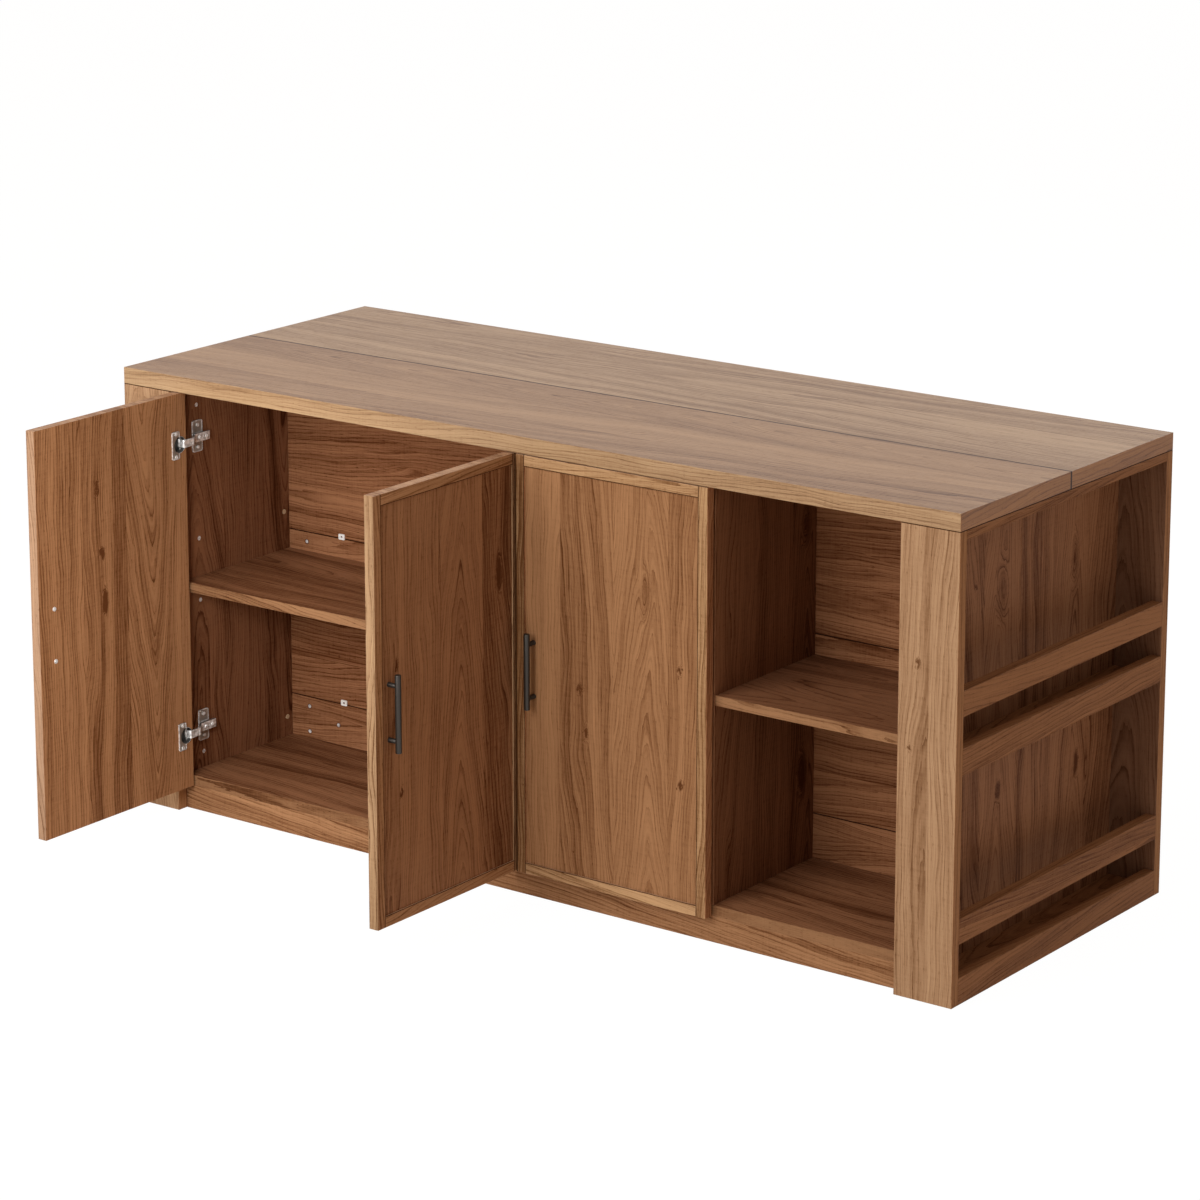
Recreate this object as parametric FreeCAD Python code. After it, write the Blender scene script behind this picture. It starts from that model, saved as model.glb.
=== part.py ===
import FreeCAD, Part
import os
from math import hypot

# Kitchen island with a worktop in two boards, a three-bay cupboard in its front half,
# an open seating side behind, and a shallow rack across each end.
# Lengths are millimetres. +X is to the right, +Y to the back, +Z up.
# The origin is on the floor, under the middle of the lower back board.
# The two left doors stand open at a right angle, and the third is closed.

# Overall size
island_width = 1980.0
island_depth = 760.0
island_height = 915.0

# Board stock
worktop_thickness = 33.0
board_thickness = 22.0
shelf_thickness = 20.0
board_easing = 0.5
board_seam = 0.6

# Carcass
leg_width = 123.0
plinth_height = 51.0
carcass_setback = 2.5
shelf_setback = 1.5
shelf_underside = 461.0
middle_bay_width = 414.0
right_bay_width = 413.6
lower_back_height = 163.0
middle_back_height = 359.0

# End racks
rack_top_thickness = 19.0
rack_shelf_thickness = 16.0
lip_height = 51.0
guard_height = 48.0
lower_shelf_underside = 8.0
lower_guard_underside = 115.0
upper_lip_underside = 430.0
upper_guard_underside = 540.0

# Doors
door_slab_thickness = 18.0
frame_strip_thickness = 3.0
frame_strip_width = 22.0
frame_strip_easing = 0.4
door_hinge_gap = 4.0
door_meeting_gap = 3.0
door_top_gap = 2.0
door_bottom_gap = 2.0
single_door_inset = 1.5
door_edge_radius = 2.0
door_opening = 90.0

# Bar handles
handle_length = 150.0
handle_bar_radius = 6.0
handle_bar_bevel = 1.2
handle_post_radius = 5.0
handle_post_spacing = 106.0
handle_standoff = 22.5
handle_edge_distance = 41.5
handle_from_bottom = 411.0
handle_post_seat = 4.0
handle_screw_radius = 2.0
handle_screw_head_radius = 4.4
handle_screw_head_height = 2.2
handle_screw_grip = 9.0

# Cup hinges: the pin lies inside the door, this far from its edge and from its face
pivot_inset = 10.0
pivot_depth = 10.0
hinge_from_bottom = 112.0
hinge_from_top = 105.0
hinge_pin_radius = 1.5
hinge_pin_clearance = 0.06
hinge_pin_seat = 2.5
hinge_eye_radius = 2.8
hinge_side_clearance = 0.5
hinge_width = 15.0
cup_radius = 17.5
cup_wall = 0.8
cup_edge_distance = 4.0
cup_depth = 15.0
cup_lug_width = 7.0
cup_lug_cover = 3.5
cup_rim_thickness = 1.0
cup_rim_width = 0.5
cup_ear_thickness = 2.4
cup_ear_length = 58.0
cup_ear_width = 22.0
cup_ear_offset = 11.5
cup_ear_radius = 4.0
cup_screw_spacing = 47.0
cup_screw_grip = 9.0
arm_thickness = 2.4
arm_reach = 14.5
arm_dip = 1.0
arm_bend_forward = 34.0
arm_bend_back = 54.0
arm_back_end = 102.0
arm_screw_front = 72.0
arm_screw_back = 92.0
arm_screw_grip = 8.0
plate_front = 63.0
plate_wing_length = 66.0
plate_wing_width = 30.0
plate_wing_thickness = 3.0
plate_wing_radius = 5.0
plate_saddle_height = 12.0
plate_saddle_back = 99.0
plate_screw_spacing = 46.0
plate_screw_grip = 12.0
hinge_screw_radius = 2.2
hinge_screw_head_radius = 4.0
hinge_screw_head_height = 1.6

# Cam fittings between the end panels and the legs
cam_radius = 4.5
cam_depth = 12.0
cam_edge_distance = 57.0
cam_above_floor = 33.5
cam_below_shelf = 31.0
cam_above_shelf = 79.0
cam_below_worktop = 43.0
cam_bolt_radius = 3.0
cam_bolt_grip = 10.0
cam_recess_depth = 1.0

# Cover caps
cap_radius = 5.0
cap_head = 1.0
cap_stem_radius = 2.5
cap_stem_length = 6.0
cap_from_back = 16.0
cap_above_floor = 41.5
cap_above_shelf = 80.0

# Dowels
dowel_radius = 4.0
dowel_length = 24.0
dowel_edge_distance = 60.0
dowel_wall = 4.0
rack_dowel_edge_distance = 90.0
leg_dowel_share = 0.25

# Screws and clips of the back boards
back_screw_radius = 2.0
back_screw_head_radius = 4.0
back_screw_head_depth = 2.0
back_screw_wall = 4.0
back_screw_from_wall = 48.0
back_screw_below_seam = 21.0
back_screw_above_floor = 14.0
raised_screw_from_wall = 127.0
raised_screw_above_floor = 42.0
clip_width = 16.0
clip_height = 12.0
clip_thickness = 2.0
clip_hole_radius = 2.5
clip_corner_radius = 2.0
clip_overlap = 2.0
clip_side_distance = 144.0

# Cross recess of a screw or cam, as shares of the head
recess_length_share = 1.1
recess_width_share = 0.26
recess_depth_share = 0.55
head_round_share = 0.4

UP = FreeCAD.Vector(0, 0, 1)
RIGHT = FreeCAD.Vector(1, 0, 0)
BACK = FreeCAD.Vector(0, 1, 0)

# Planes that the boards share
half_width = island_width / 2
inner_half_width = half_width - leg_width
worktop_underside = island_height - worktop_thickness
back_front_face = -board_thickness / 2
back_rear_face = board_thickness / 2
middle_depth = back_rear_face
front_plane = middle_depth - island_depth / 2
rear_plane = middle_depth + island_depth / 2
leg_back_plane = front_plane + board_thickness
carcass_front = leg_back_plane + carcass_setback
rear_leg_plane = rear_plane - board_thickness
bay_floor = plinth_height + board_thickness
right_divider_right = inner_half_width - right_bay_width
right_divider_left = right_divider_right - board_thickness
left_divider_right = right_divider_left - middle_bay_width
left_divider_left = left_divider_right - board_thickness
shelf_front = carcass_front + shelf_setback
shelf_top = shelf_underside + shelf_thickness
upper_back_underside = lower_back_height + middle_back_height
panel_outside = inner_half_width + board_thickness
rail_inside = half_width - board_thickness
upper_shelf_top = upper_lip_underside + rack_shelf_thickness
lower_shelf_top = lower_shelf_underside + rack_shelf_thickness
rack_top_underside = worktop_underside - rack_top_thickness

# Planes that the doors share
door_thickness = door_slab_thickness + frame_strip_thickness
door_bottom = plinth_height + door_bottom_gap
door_top = worktop_underside - door_top_gap
slab_front = front_plane + frame_strip_thickness
slab_back = front_plane + door_thickness
divider_gap_centre = (left_divider_left + left_divider_right) / 2
pair_left = door_hinge_gap - inner_half_width
pair_right = divider_gap_centre - door_hinge_gap / 2
pair_door_width = (pair_right - pair_left - door_meeting_gap) / 2
single_left = divider_gap_centre + door_hinge_gap / 2
single_right = right_divider_right - single_door_inset
handle_height = door_bottom + handle_from_bottom
hinge_heights = (door_bottom + hinge_from_bottom, door_top - hinge_from_top)
pivot_y = front_plane + pivot_depth

finished = {}
holes = {}


def point(x, y, z):
    return FreeCAD.Vector(x, y, z)


def block(x0, x1, y0, y1, z0, z1):
    return Part.makeBox(x1 - x0, y1 - y0, z1 - z0, point(x0, y0, z0))


def board(x0, x1, y0, y1, z0, z1, easing=board_easing):
    """A board with its edges lightly eased."""
    solid = block(x0, x1, y0, y1, z0, z1)
    return solid.makeChamfer(easing, solid.Edges)


def rod(radius, start, end):
    """A round bar from one point to another."""
    along = end - start
    return Part.makeCylinder(radius, along.Length, start, along)


def cross_recess(face, outward, radius, depth):
    """The tool that cuts a cross this deep into the outer face of a round head."""
    slot_reach = radius * recess_length_share / 2
    slot_half_width = radius * recess_width_share / 2
    slots = [block(-a, a, -b, b, -depth, 0)
             for a, b in ((slot_reach, slot_half_width), (slot_half_width, slot_reach))]
    tool = slots[0].fuse(slots[1])
    tool.Placement = FreeCAD.Placement(face, FreeCAD.Rotation(UP, outward))
    return tool


def pan_screw(tip, seat, shank_radius, head_radius, head_height):
    """A round-headed screw from its tip to the seat of its head, and the hole for its shank."""
    outward = (seat - tip).normalize()
    head = rod(head_radius, seat, seat + outward * head_height)
    rim = [edge for edge in head.Edges
           if abs((edge.CenterOfMass - seat).dot(outward) - head_height) < head_height * head_round_share
           and len(edge.Vertexes) == 1]
    head = head.makeFillet(head_height * head_round_share, rim)
    shank = rod(shank_radius, tip, seat)
    recess = cross_recess(seat + outward * head_height, outward, head_radius,
                          head_height * recess_depth_share)
    return shank.fuse(head).removeSplitter().cut(recess), shank


def keep(node, *solids):
    """Store the solids of one node under its name."""
    finished[node] = list(solids)


def add_hole(node, tool):
    """Note a hole for a board that is cut later."""
    holes.setdefault(node, []).append(tool)


def keep_board(node, *solids):
    """Store a node's boards with the holes that its fasteners need."""
    tools = holes.get(node, [])
    keep(node, *[solid.cut(tools) if tools else solid for solid in solids])


def make_cams():
    """Cam drums in the end panels, and the bolts by which they draw the legs to the panels."""
    drums = []
    bolts = []
    heights = (bay_floor + cam_above_floor, shelf_underside - cam_below_shelf,
               shelf_top + cam_above_shelf, worktop_underside - cam_below_worktop)
    for side, side_name in ((-1, "left"), (1, "right")):
        inner = side * inner_half_width
        bolt_x = inner + side * cam_depth / 2
        for end_name, leg_face, inward in (("front", leg_back_plane, 1), ("rear", rear_leg_plane, -1)):
            panel = "%s_end_panel_%s" % (side_name, end_name)
            leg = "%s_%s_leg" % (end_name, side_name)
            cam_y = leg_face + inward * cam_edge_distance
            for z in heights:
                deep = point(inner + side * cam_depth, cam_y, z)
                face = point(inner, cam_y, z)
                drum = rod(cam_radius, deep, face)
                bolt = rod(cam_bolt_radius, point(bolt_x, leg_face - inward * cam_bolt_grip, z),
                           point(bolt_x, cam_y, z)).cut(drum)
                recess = cross_recess(face, RIGHT * -side, cam_radius, cam_recess_depth)
                drums.append(drum.cut(recess))
                bolts.append(bolt)
                add_hole(panel, drum)
                add_hole(panel, bolt)
                add_hole(leg, bolt)
    keep("cam_locks", *drums)
    keep("cam_bolts", *bolts)


def make_cover_caps():
    """Round caps over the fixings of the back boards, on the inner faces of the end panels."""
    caps = []
    y = back_front_face - cap_from_back
    for side, side_name in ((-1, "left"), (1, "right")):
        inner = side * inner_half_width
        for z in (bay_floor + cap_above_floor, shelf_top + cap_above_shelf):
            face = point(inner, y, z)
            head = rod(cap_radius, face, point(inner - side * cap_head, y, z))
            stem = rod(cap_stem_radius, face, point(inner + side * cap_stem_length, y, z))
            caps.append(head.fuse(stem))
            add_hole("%s_end_panel_front" % side_name, stem)
    keep("cover_caps", *caps)


def dowel(place, along, back_reach, fore_reach, *nodes):
    """One dowel through a joint at this place, with its holes in the boards that it joins."""
    pin = rod(dowel_radius, place - along * back_reach, place + along * fore_reach)
    finished.setdefault("dowels", []).append(pin)
    for node in nodes:
        add_hole(node, pin)


def dowels_in_cupboard():
    """Dowels at the ends of the shelves, the floor, the plinth and the back boards."""
    deep = dowel_length / 2
    shallow = board_thickness - dowel_wall
    shared = (board_thickness - dowel_wall) / 2
    depths = (shelf_front + dowel_edge_distance, back_front_face - dowel_edge_distance)
    shelf_z = shelf_underside + shelf_thickness / 2
    for y in depths:
        for left, x, right, back_reach, fore_reach in (
                ("left_end_panel_front", -inner_half_width, "left_bay_shelf", shallow, deep),
                ("left_bay_shelf", left_divider_left, "left_divider", deep, shared),
                ("left_divider", left_divider_right, "middle_bay_shelf", shared, deep),
                ("middle_bay_shelf", right_divider_left, "right_divider", deep, shared),
                ("right_divider", right_divider_right, "right_bay_shelf", shared, deep),
                ("right_bay_shelf", inner_half_width, "right_end_panel_front", deep, shallow)):
            dowel(point(x, y, shelf_z), RIGHT, back_reach, fore_reach, left, right)
        for node, left_face in (("left_divider", left_divider_left), ("right_divider", right_divider_left)):
            dowel(point(left_face + board_thickness / 2, y, bay_floor), UP, shallow, deep,
                  "bottom_panel", node)
    heights = {
        "bottom_panel": [(y, plinth_height + board_thickness / 2) for y in depths],
        "plinth_board": [(carcass_front + board_thickness / 2, plinth_height / 2)],
        "lower_back_board": [(0, lower_back_height / 2)],
        "middle_back_board": [(0, lower_back_height + dowel_edge_distance),
                              (0, upper_back_underside - dowel_edge_distance)],
        "upper_back_board": [(0, upper_back_underside + dowel_edge_distance),
                             (0, worktop_underside - dowel_edge_distance)],
    }
    for side, side_name in ((-1, "left"), (1, "right")):
        for node, places in heights.items():
            for y, z in places:
                dowel(point(side * inner_half_width, y, z), RIGHT * side, deep, shallow,
                      "%s_end_panel_front" % side_name, node)


def dowels_in_worktop():
    """Dowels from the legs up into the worktop, and level ones across its seam."""
    deep = dowel_length / 2
    for side, side_name in ((-1, "left"), (1, "right")):
        for end_name, y in (("front", (front_plane + leg_back_plane) / 2),
                            ("rear", (rear_leg_plane + rear_plane) / 2)):
            for x in (inner_half_width + leg_width * leg_dowel_share,
                      half_width - leg_width * leg_dowel_share):
                dowel(point(side * x, y, worktop_underside), UP, deep, deep,
                      "%s_%s_leg" % (end_name, side_name), "worktop_" + end_name)
    seam_z = worktop_underside + worktop_thickness / 2
    for x in (-inner_half_width, left_divider_left, right_divider_right, inner_half_width):
        dowel(point(x, middle_depth, seam_z), BACK, deep, deep, "worktop_front", "worktop_rear")


def dowels_in_rack(side, side_name):
    """Dowels from the end panel into the rack's shelves, and from the legs into its rails."""
    deep = dowel_length / 2
    shallow = board_thickness - dowel_wall
    depths = (("front", leg_back_plane + rack_dowel_edge_distance),
              ("rear", rear_leg_plane - rack_dowel_edge_distance))
    for end_name, y in depths:
        for node, low, high in (("top_board", rack_top_underside, worktop_underside),
                                ("shelves", upper_lip_underside, upper_shelf_top),
                                ("shelves", lower_shelf_underside, lower_shelf_top)):
            dowel(point(side * panel_outside, y, (low + high) / 2), RIGHT * side, shallow, deep,
                  "%s_end_panel_%s" % (side_name, end_name), "%s_rack_%s" % (side_name, node))
    rail_x = side * (half_width - board_thickness / 2)
    for node, low, height in (("lips", 0, lip_height), ("lips", upper_lip_underside, lip_height),
                              ("guard_rails", lower_guard_underside, guard_height),
                              ("guard_rails", upper_guard_underside, guard_height)):
        for end_name, y, outward in (("front", leg_back_plane, -1), ("rear", rear_leg_plane, 1)):
            dowel(point(rail_x, y, low + height / 2), BACK * outward, deep, shallow,
                  "%s_%s_leg" % (end_name, side_name), "%s_rack_%s" % (side_name, node))


def make_back_fixings():
    """Screws in the back boards, and the clips that hold their seams level."""
    screws = []
    for node, from_wall, z in (
            ("middle_back_board", back_screw_from_wall, upper_back_underside - back_screw_below_seam),
            ("lower_back_board", back_screw_from_wall, lower_back_height - back_screw_below_seam),
            ("lower_back_board", back_screw_from_wall, bay_floor + back_screw_above_floor),
            ("lower_back_board", raised_screw_from_wall, bay_floor + raised_screw_above_floor)):
        x = from_wall - inner_half_width
        tip = point(x, back_rear_face - back_screw_wall, z)
        seat = point(x, back_front_face + back_screw_head_depth, z)
        shank = rod(back_screw_radius, tip, seat)
        head = rod(back_screw_head_radius, seat, seat - BACK * back_screw_head_depth)
        screw = shank.fuse(head).removeSplitter()
        add_hole(node, screw)
        screws.append(screw.cut(cross_recess(point(x, back_front_face, z), -BACK, back_screw_head_radius,
                                             back_screw_head_depth * recess_depth_share)))
    keep("back_board_screws", *screws)
    clips = []
    for seam in (lower_back_height, upper_back_underside):
        low = seam - clip_overlap
        hole_z = low + clip_height / 2
        for x in (clip_side_distance - inner_half_width, left_divider_left - clip_side_distance):
            plate = block(x - clip_width / 2, x + clip_width / 2, back_front_face - clip_thickness,
                          back_front_face, low, low + clip_height)
            corners = [edge for edge in plate.Edges if edge.BoundBox.YLength > clip_thickness / 2]
            plate = plate.makeFillet(clip_corner_radius, corners)
            hole = rod(clip_hole_radius, point(x, back_front_face - clip_thickness, hole_z),
                       point(x, back_front_face, hole_z))
            clips.append(plate.cut(hole))
    keep("seam_clips", *clips)


def make_worktop_and_frame():
    """The two worktop boards, the four leg boards and the end panels."""
    half_seam = board_seam / 2
    halves = (("front", front_plane, leg_back_plane, middle_depth - half_seam),
              ("rear", rear_plane, rear_leg_plane, middle_depth + half_seam))
    for end_name, outer, leg_face, seam in halves:
        y0, y1 = sorted((outer, seam))
        keep_board("worktop_" + end_name,
                   board(-half_width, half_width, y0, y1, worktop_underside, island_height))
        for side, side_name in ((-1, "left"), (1, "right")):
            x0, x1 = sorted((side * inner_half_width, side * half_width))
            y0, y1 = sorted((outer, leg_face))
            keep_board("%s_%s_leg" % (end_name, side_name), board(x0, x1, y0, y1, 0, worktop_underside))
            x0, x1 = sorted((side * inner_half_width, side * panel_outside))
            y0, y1 = sorted((leg_face, seam))
            keep_board("%s_end_panel_%s" % (side_name, end_name),
                       board(x0, x1, y0, y1, 0, worktop_underside))


def make_cupboard():
    """Back boards, floor, plinth, dividers and shelves of the front half."""
    x0 = -inner_half_width
    x1 = inner_half_width
    for node, low, high in (
            ("lower_back_board", 0, lower_back_height),
            ("middle_back_board", lower_back_height + board_seam, upper_back_underside),
            ("upper_back_board", upper_back_underside + board_seam, worktop_underside)):
        keep_board(node, board(x0, x1, back_front_face, back_rear_face, low, high))
    keep_board("plinth_board",
               board(x0, x1, carcass_front, carcass_front + board_thickness, 0, plinth_height))
    keep_board("bottom_panel", board(x0, x1, carcass_front, back_front_face, plinth_height, bay_floor))
    for node, left, right in (("left_divider", left_divider_left, left_divider_right),
                              ("right_divider", right_divider_left, right_divider_right)):
        keep_board(node, board(left, right, carcass_front, back_front_face, bay_floor, worktop_underside))
    for node, left, right in (("left_bay_shelf", x0, left_divider_left),
                              ("middle_bay_shelf", left_divider_right, right_divider_left),
                              ("right_bay_shelf", right_divider_right, x1)):
        keep_board(node, board(left, right, shelf_front, back_front_face, shelf_underside, shelf_top))


def make_rack(side, side_name):
    """The shallow rack across one end: top board, two shelves, two lips and two guard rails."""

    def piece(inner, outer, low, high):
        x0, x1 = sorted((side * inner, side * outer))
        return board(x0, x1, leg_back_plane, rear_leg_plane, low, high)

    name = side_name + "_rack_"
    keep_board(name + "top_board", piece(panel_outside, half_width, rack_top_underside, worktop_underside))
    keep_board(name + "shelves",
               piece(panel_outside, rail_inside, lower_shelf_underside, lower_shelf_top),
               piece(panel_outside, rail_inside, upper_lip_underside, upper_shelf_top))
    keep_board(name + "lips",
               piece(rail_inside, half_width, 0, lip_height),
               piece(rail_inside, half_width, upper_lip_underside, upper_lip_underside + lip_height))
    keep_board(name + "guard_rails",
               piece(rail_inside, half_width, lower_guard_underside, lower_guard_underside + guard_height),
               piece(rail_inside, half_width, upper_guard_underside, upper_guard_underside + guard_height))


def strap(route, thickness, height):
    """A bent flat strap that follows a route in plan and stands this high."""
    bars = []
    for start, end in zip(route, route[1:]):
        along = end - start
        side = point(-along.y, along.x, 0).normalize() * (thickness / 2)
        outline = Part.makePolygon([start + side, end + side, end - side, start - side, start + side])
        bars.append(Part.Face(outline).extrude(UP * height))
    bends = [Part.makeCylinder(thickness / 2, height, bend, UP) for bend in route[1:-1]]
    return bars[0].fuse(bars[1:] + bends).removeSplitter()


class Door:
    """A door drawn closed, with its hinge edge at hinge_x and its body going inward along X.

    inward is 1 where the hinge is at the left edge and -1 where it is at the right edge.
    wall_x is the face of the upright that carries the hinges.
    """

    def __init__(self, name, hinge_x, width, inward, wall_x, upright, opening):
        self.name = name
        self.hinge_x = hinge_x
        self.width = width
        self.inward = inward
        self.wall_x = wall_x
        self.upright = upright
        self.opening = opening
        self.pivot_x = hinge_x + inward * pivot_inset
        self.pockets = []

    def across(self, distance):
        """The X of a place this far from the hinge edge, towards the free edge."""
        return self.hinge_x + self.inward * distance

    def off_wall(self, distance):
        """The X of a place this far in front of the upright's face."""
        return self.wall_x + self.inward * distance

    def span(self, near, far):
        return sorted((self.across(near), self.across(far)))

    def keep(self, piece, *solids):
        """Turn closed-door solids to the angle at which the door stands, and store them."""
        turned = [solid.copy() for solid in solids]
        for solid in turned:
            solid.rotate(point(self.pivot_x, pivot_y, 0), UP, -self.inward * self.opening)
        keep("%s_%s" % (self.name, piece), *turned)

    def rounded_at_hinge(self, solid, face_y):
        """Round the upright edge that the hinge edge and one face of the door share."""
        edges = [edge for edge in solid.Edges
                 if abs(edge.CenterOfMass.x - self.hinge_x) < board_easing
                 and abs(edge.CenterOfMass.y - face_y) < board_easing
                 and edge.BoundBox.ZLength > board_thickness]
        return solid.makeFillet(door_edge_radius, edges)

    def make_slab(self):
        slab = block(*self.span(0, self.width), slab_front, slab_back, door_bottom, door_top)
        slab = self.rounded_at_hinge(slab, slab_back)
        self.keep("slab", slab.cut(self.pockets))

    def make_frame(self):
        """Two stiles of full height and two rails between them, proud of the panel."""
        free_inside = self.width - frame_strip_width
        hinge_stile = block(*self.span(0, frame_strip_width), front_plane, slab_front, door_bottom, door_top)
        hinge_stile = self.rounded_at_hinge(hinge_stile, front_plane)
        free_stile = board(*self.span(free_inside, self.width), front_plane, slab_front,
                           door_bottom, door_top, frame_strip_easing)
        rails = [board(*self.span(frame_strip_width, free_inside), front_plane, slab_front,
                       low, low + frame_strip_width, frame_strip_easing)
                 for low in (door_bottom, door_top - frame_strip_width)]
        self.keep("stiles", hinge_stile, free_stile)
        self.keep("rails", *rails)

    def make_handle(self):
        """A round bar on two posts, held by screws from the inside of the door."""
        x = self.across(self.width - handle_edge_distance)
        bar_y = slab_front - handle_standoff
        bar = Part.makeCylinder(handle_bar_radius, handle_length,
                                point(x, bar_y, handle_height - handle_length / 2), UP)
        rims = [edge for edge in bar.Edges if edge.BoundBox.ZLength < handle_bar_bevel]
        bar = bar.makeChamfer(handle_bar_bevel, rims)
        posts = []
        screws = []
        for direction in (-1, 1):
            z = handle_height + direction * handle_post_spacing / 2
            seat = point(x, bar_y + handle_bar_radius - handle_post_seat, z)
            post = rod(handle_post_radius, seat, point(x, slab_front, z))
            bar = bar.cut(post)
            screw, shank = pan_screw(point(x, slab_front - handle_screw_grip, z), point(x, slab_back, z),
                                     handle_screw_radius, handle_screw_head_radius, handle_screw_head_height)
            posts.append(post.cut(shank))
            screws.append(screw)
            self.pockets.append(shank)
        self.keep("handle", bar, *posts)
        self.keep("handle_screws", *screws)

    def cup_disc(self, radius, above, below, z):
        """A disc about the cup's axis, from above to below the back face of the door."""
        x = self.across(cup_edge_distance + cup_radius)
        return rod(radius, point(x, slab_back + above, z), point(x, slab_back - below, z))

    def make_cup(self, z):
        """One hinge cup with its screwed flange, its two lugs and the bore for the pin."""
        ear_middle = cup_edge_distance + cup_radius + cup_ear_offset
        ear_x = self.span(ear_middle - cup_ear_width / 2, ear_middle + cup_ear_width / 2)
        ear = block(*ear_x, slab_back, slab_back + cup_ear_thickness,
                    z - cup_ear_length / 2, z + cup_ear_length / 2)
        corners = [edge for edge in ear.Edges if edge.BoundBox.YLength > cup_ear_thickness / 2]
        ear = ear.makeFillet(cup_ear_radius, corners)
        shell = self.cup_disc(cup_radius, 0, cup_depth, z)
        rim = self.cup_disc(cup_radius + cup_rim_width, cup_rim_thickness, 0, z)
        hollow = self.cup_disc(cup_radius - cup_wall, cup_ear_thickness, cup_depth - cup_wall, z)
        lug_x = sorted((self.pivot_x - cup_lug_width / 2, self.pivot_x + cup_lug_width / 2))
        inner = hinge_width / 2 + hinge_side_clearance
        lugs = [block(*lug_x, slab_back - cup_depth, pivot_y + cup_lug_cover, z + low, z + high)
                for low, high in ((inner, cup_radius), (-cup_radius, -inner))]
        half_pin = UP * (inner + hinge_pin_seat)
        axis = point(self.pivot_x, pivot_y, z)
        bore = rod(hinge_pin_radius + hinge_pin_clearance, axis - half_pin, axis + half_pin)
        cup = shell.fuse([ear, rim]).removeSplitter().cut([hollow.cut(lugs), bore])
        screws = []
        for direction in (-1, 1):
            seat = point(self.across(ear_middle), slab_back + cup_ear_thickness,
                         z + direction * cup_screw_spacing / 2)
            tip = seat - BACK * (cup_ear_thickness + cup_screw_grip)
            screw, shank = pan_screw(tip, seat, hinge_screw_radius, hinge_screw_head_radius,
                                     hinge_screw_head_height)
            cup = cup.cut(shank)
            screws.append(screw)
            self.pockets.append(shank)
        self.pockets.append(shell)
        return cup, screws

    def make_arm(self, z):
        """The cranked arm from its back end on the plate to the pin in the cup."""
        foot = z - hinge_width / 2
        level = self.off_wall(plate_saddle_height + arm_thickness / 2)
        reach_x = self.pivot_x + self.inward * arm_reach
        eye = point(self.pivot_x, pivot_y, foot)
        route = [eye, point(reach_x, pivot_y - arm_dip, foot),
                 point(reach_x, front_plane + arm_bend_forward, foot),
                 point(level, front_plane + arm_bend_back, foot),
                 point(level, front_plane + arm_back_end, foot)]
        arm = strap(route, arm_thickness, hinge_width)
        arm = arm.fuse(Part.makeCylinder(hinge_eye_radius, hinge_width, eye, UP)).removeSplitter()
        beyond = UP * (hinge_side_clearance + hinge_pin_seat - hinge_pin_clearance)
        pin = rod(hinge_pin_radius, eye - beyond, eye + UP * hinge_width + beyond)
        return arm.cut(pin), pin

    def make_plate(self, z):
        """The plate on the upright: a wing for the screws, and a saddle that carries the arm."""
        y0 = front_plane + plate_front
        wing = block(*sorted((self.wall_x, self.off_wall(plate_wing_thickness))), y0, y0 + plate_wing_width,
                     z - plate_wing_length / 2, z + plate_wing_length / 2)
        corners = [edge for edge in wing.Edges if edge.BoundBox.XLength > plate_wing_thickness / 2]
        wing = wing.makeFillet(plate_wing_radius, corners)
        saddle = block(*sorted((self.wall_x, self.off_wall(plate_saddle_height))), y0,
                       front_plane + plate_saddle_back, z - hinge_width / 2, z + hinge_width / 2)
        return wing.fuse(saddle).removeSplitter()

    def wall_screw(self, y, z, seat_level, tip_level):
        """A screw that points at the upright, from its tip's level to the seat of its head."""
        return pan_screw(point(self.off_wall(tip_level), y, z), point(self.off_wall(seat_level), y, z),
                         hinge_screw_radius, hinge_screw_head_radius, hinge_screw_head_height)

    def make_hinges(self, hardware):
        """Cups on the door, and the plates, arms, pins and screws that the upright holds."""
        cups = []
        cup_screws = []
        arm_seat = plate_saddle_height + arm_thickness
        wing_y = front_plane + plate_front + plate_wing_width / 2
        for z in hinge_heights:
            cup, screws = self.make_cup(z)
            cups.append(cup)
            cup_screws += screws
            arm, pin = self.make_arm(z)
            plate = self.make_plate(z)
            for y in (front_plane + arm_screw_front, front_plane + arm_screw_back):
                screw, shank = self.wall_screw(y, z, arm_seat, plate_saddle_height - arm_screw_grip)
                arm = arm.cut(shank)
                plate = plate.cut(shank)
                hardware["hinge_screws"].append(screw)
            for direction in (-1, 1):
                screw, shank = self.wall_screw(wing_y, z + direction * plate_screw_spacing / 2,
                                               plate_wing_thickness, -plate_screw_grip)
                plate = plate.cut(shank)
                add_hole(self.upright, shank)
                hardware["hinge_screws"].append(screw)
            hardware["hinge_plates"].append(plate)
            hardware["hinge_arms"].append(arm)
            hardware["hinge_pins"].append(pin)
        self.keep("hinge_cups", *cups)
        self.keep("cup_screws", *cup_screws)

    def make(self, hardware):
        self.make_handle()
        self.make_hinges(hardware)
        self.make_slab()
        self.make_frame()
        print("%s: width %.1f, pin at x %.2f y %.2f" % (self.name, self.width, self.pivot_x, pivot_y))


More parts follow.
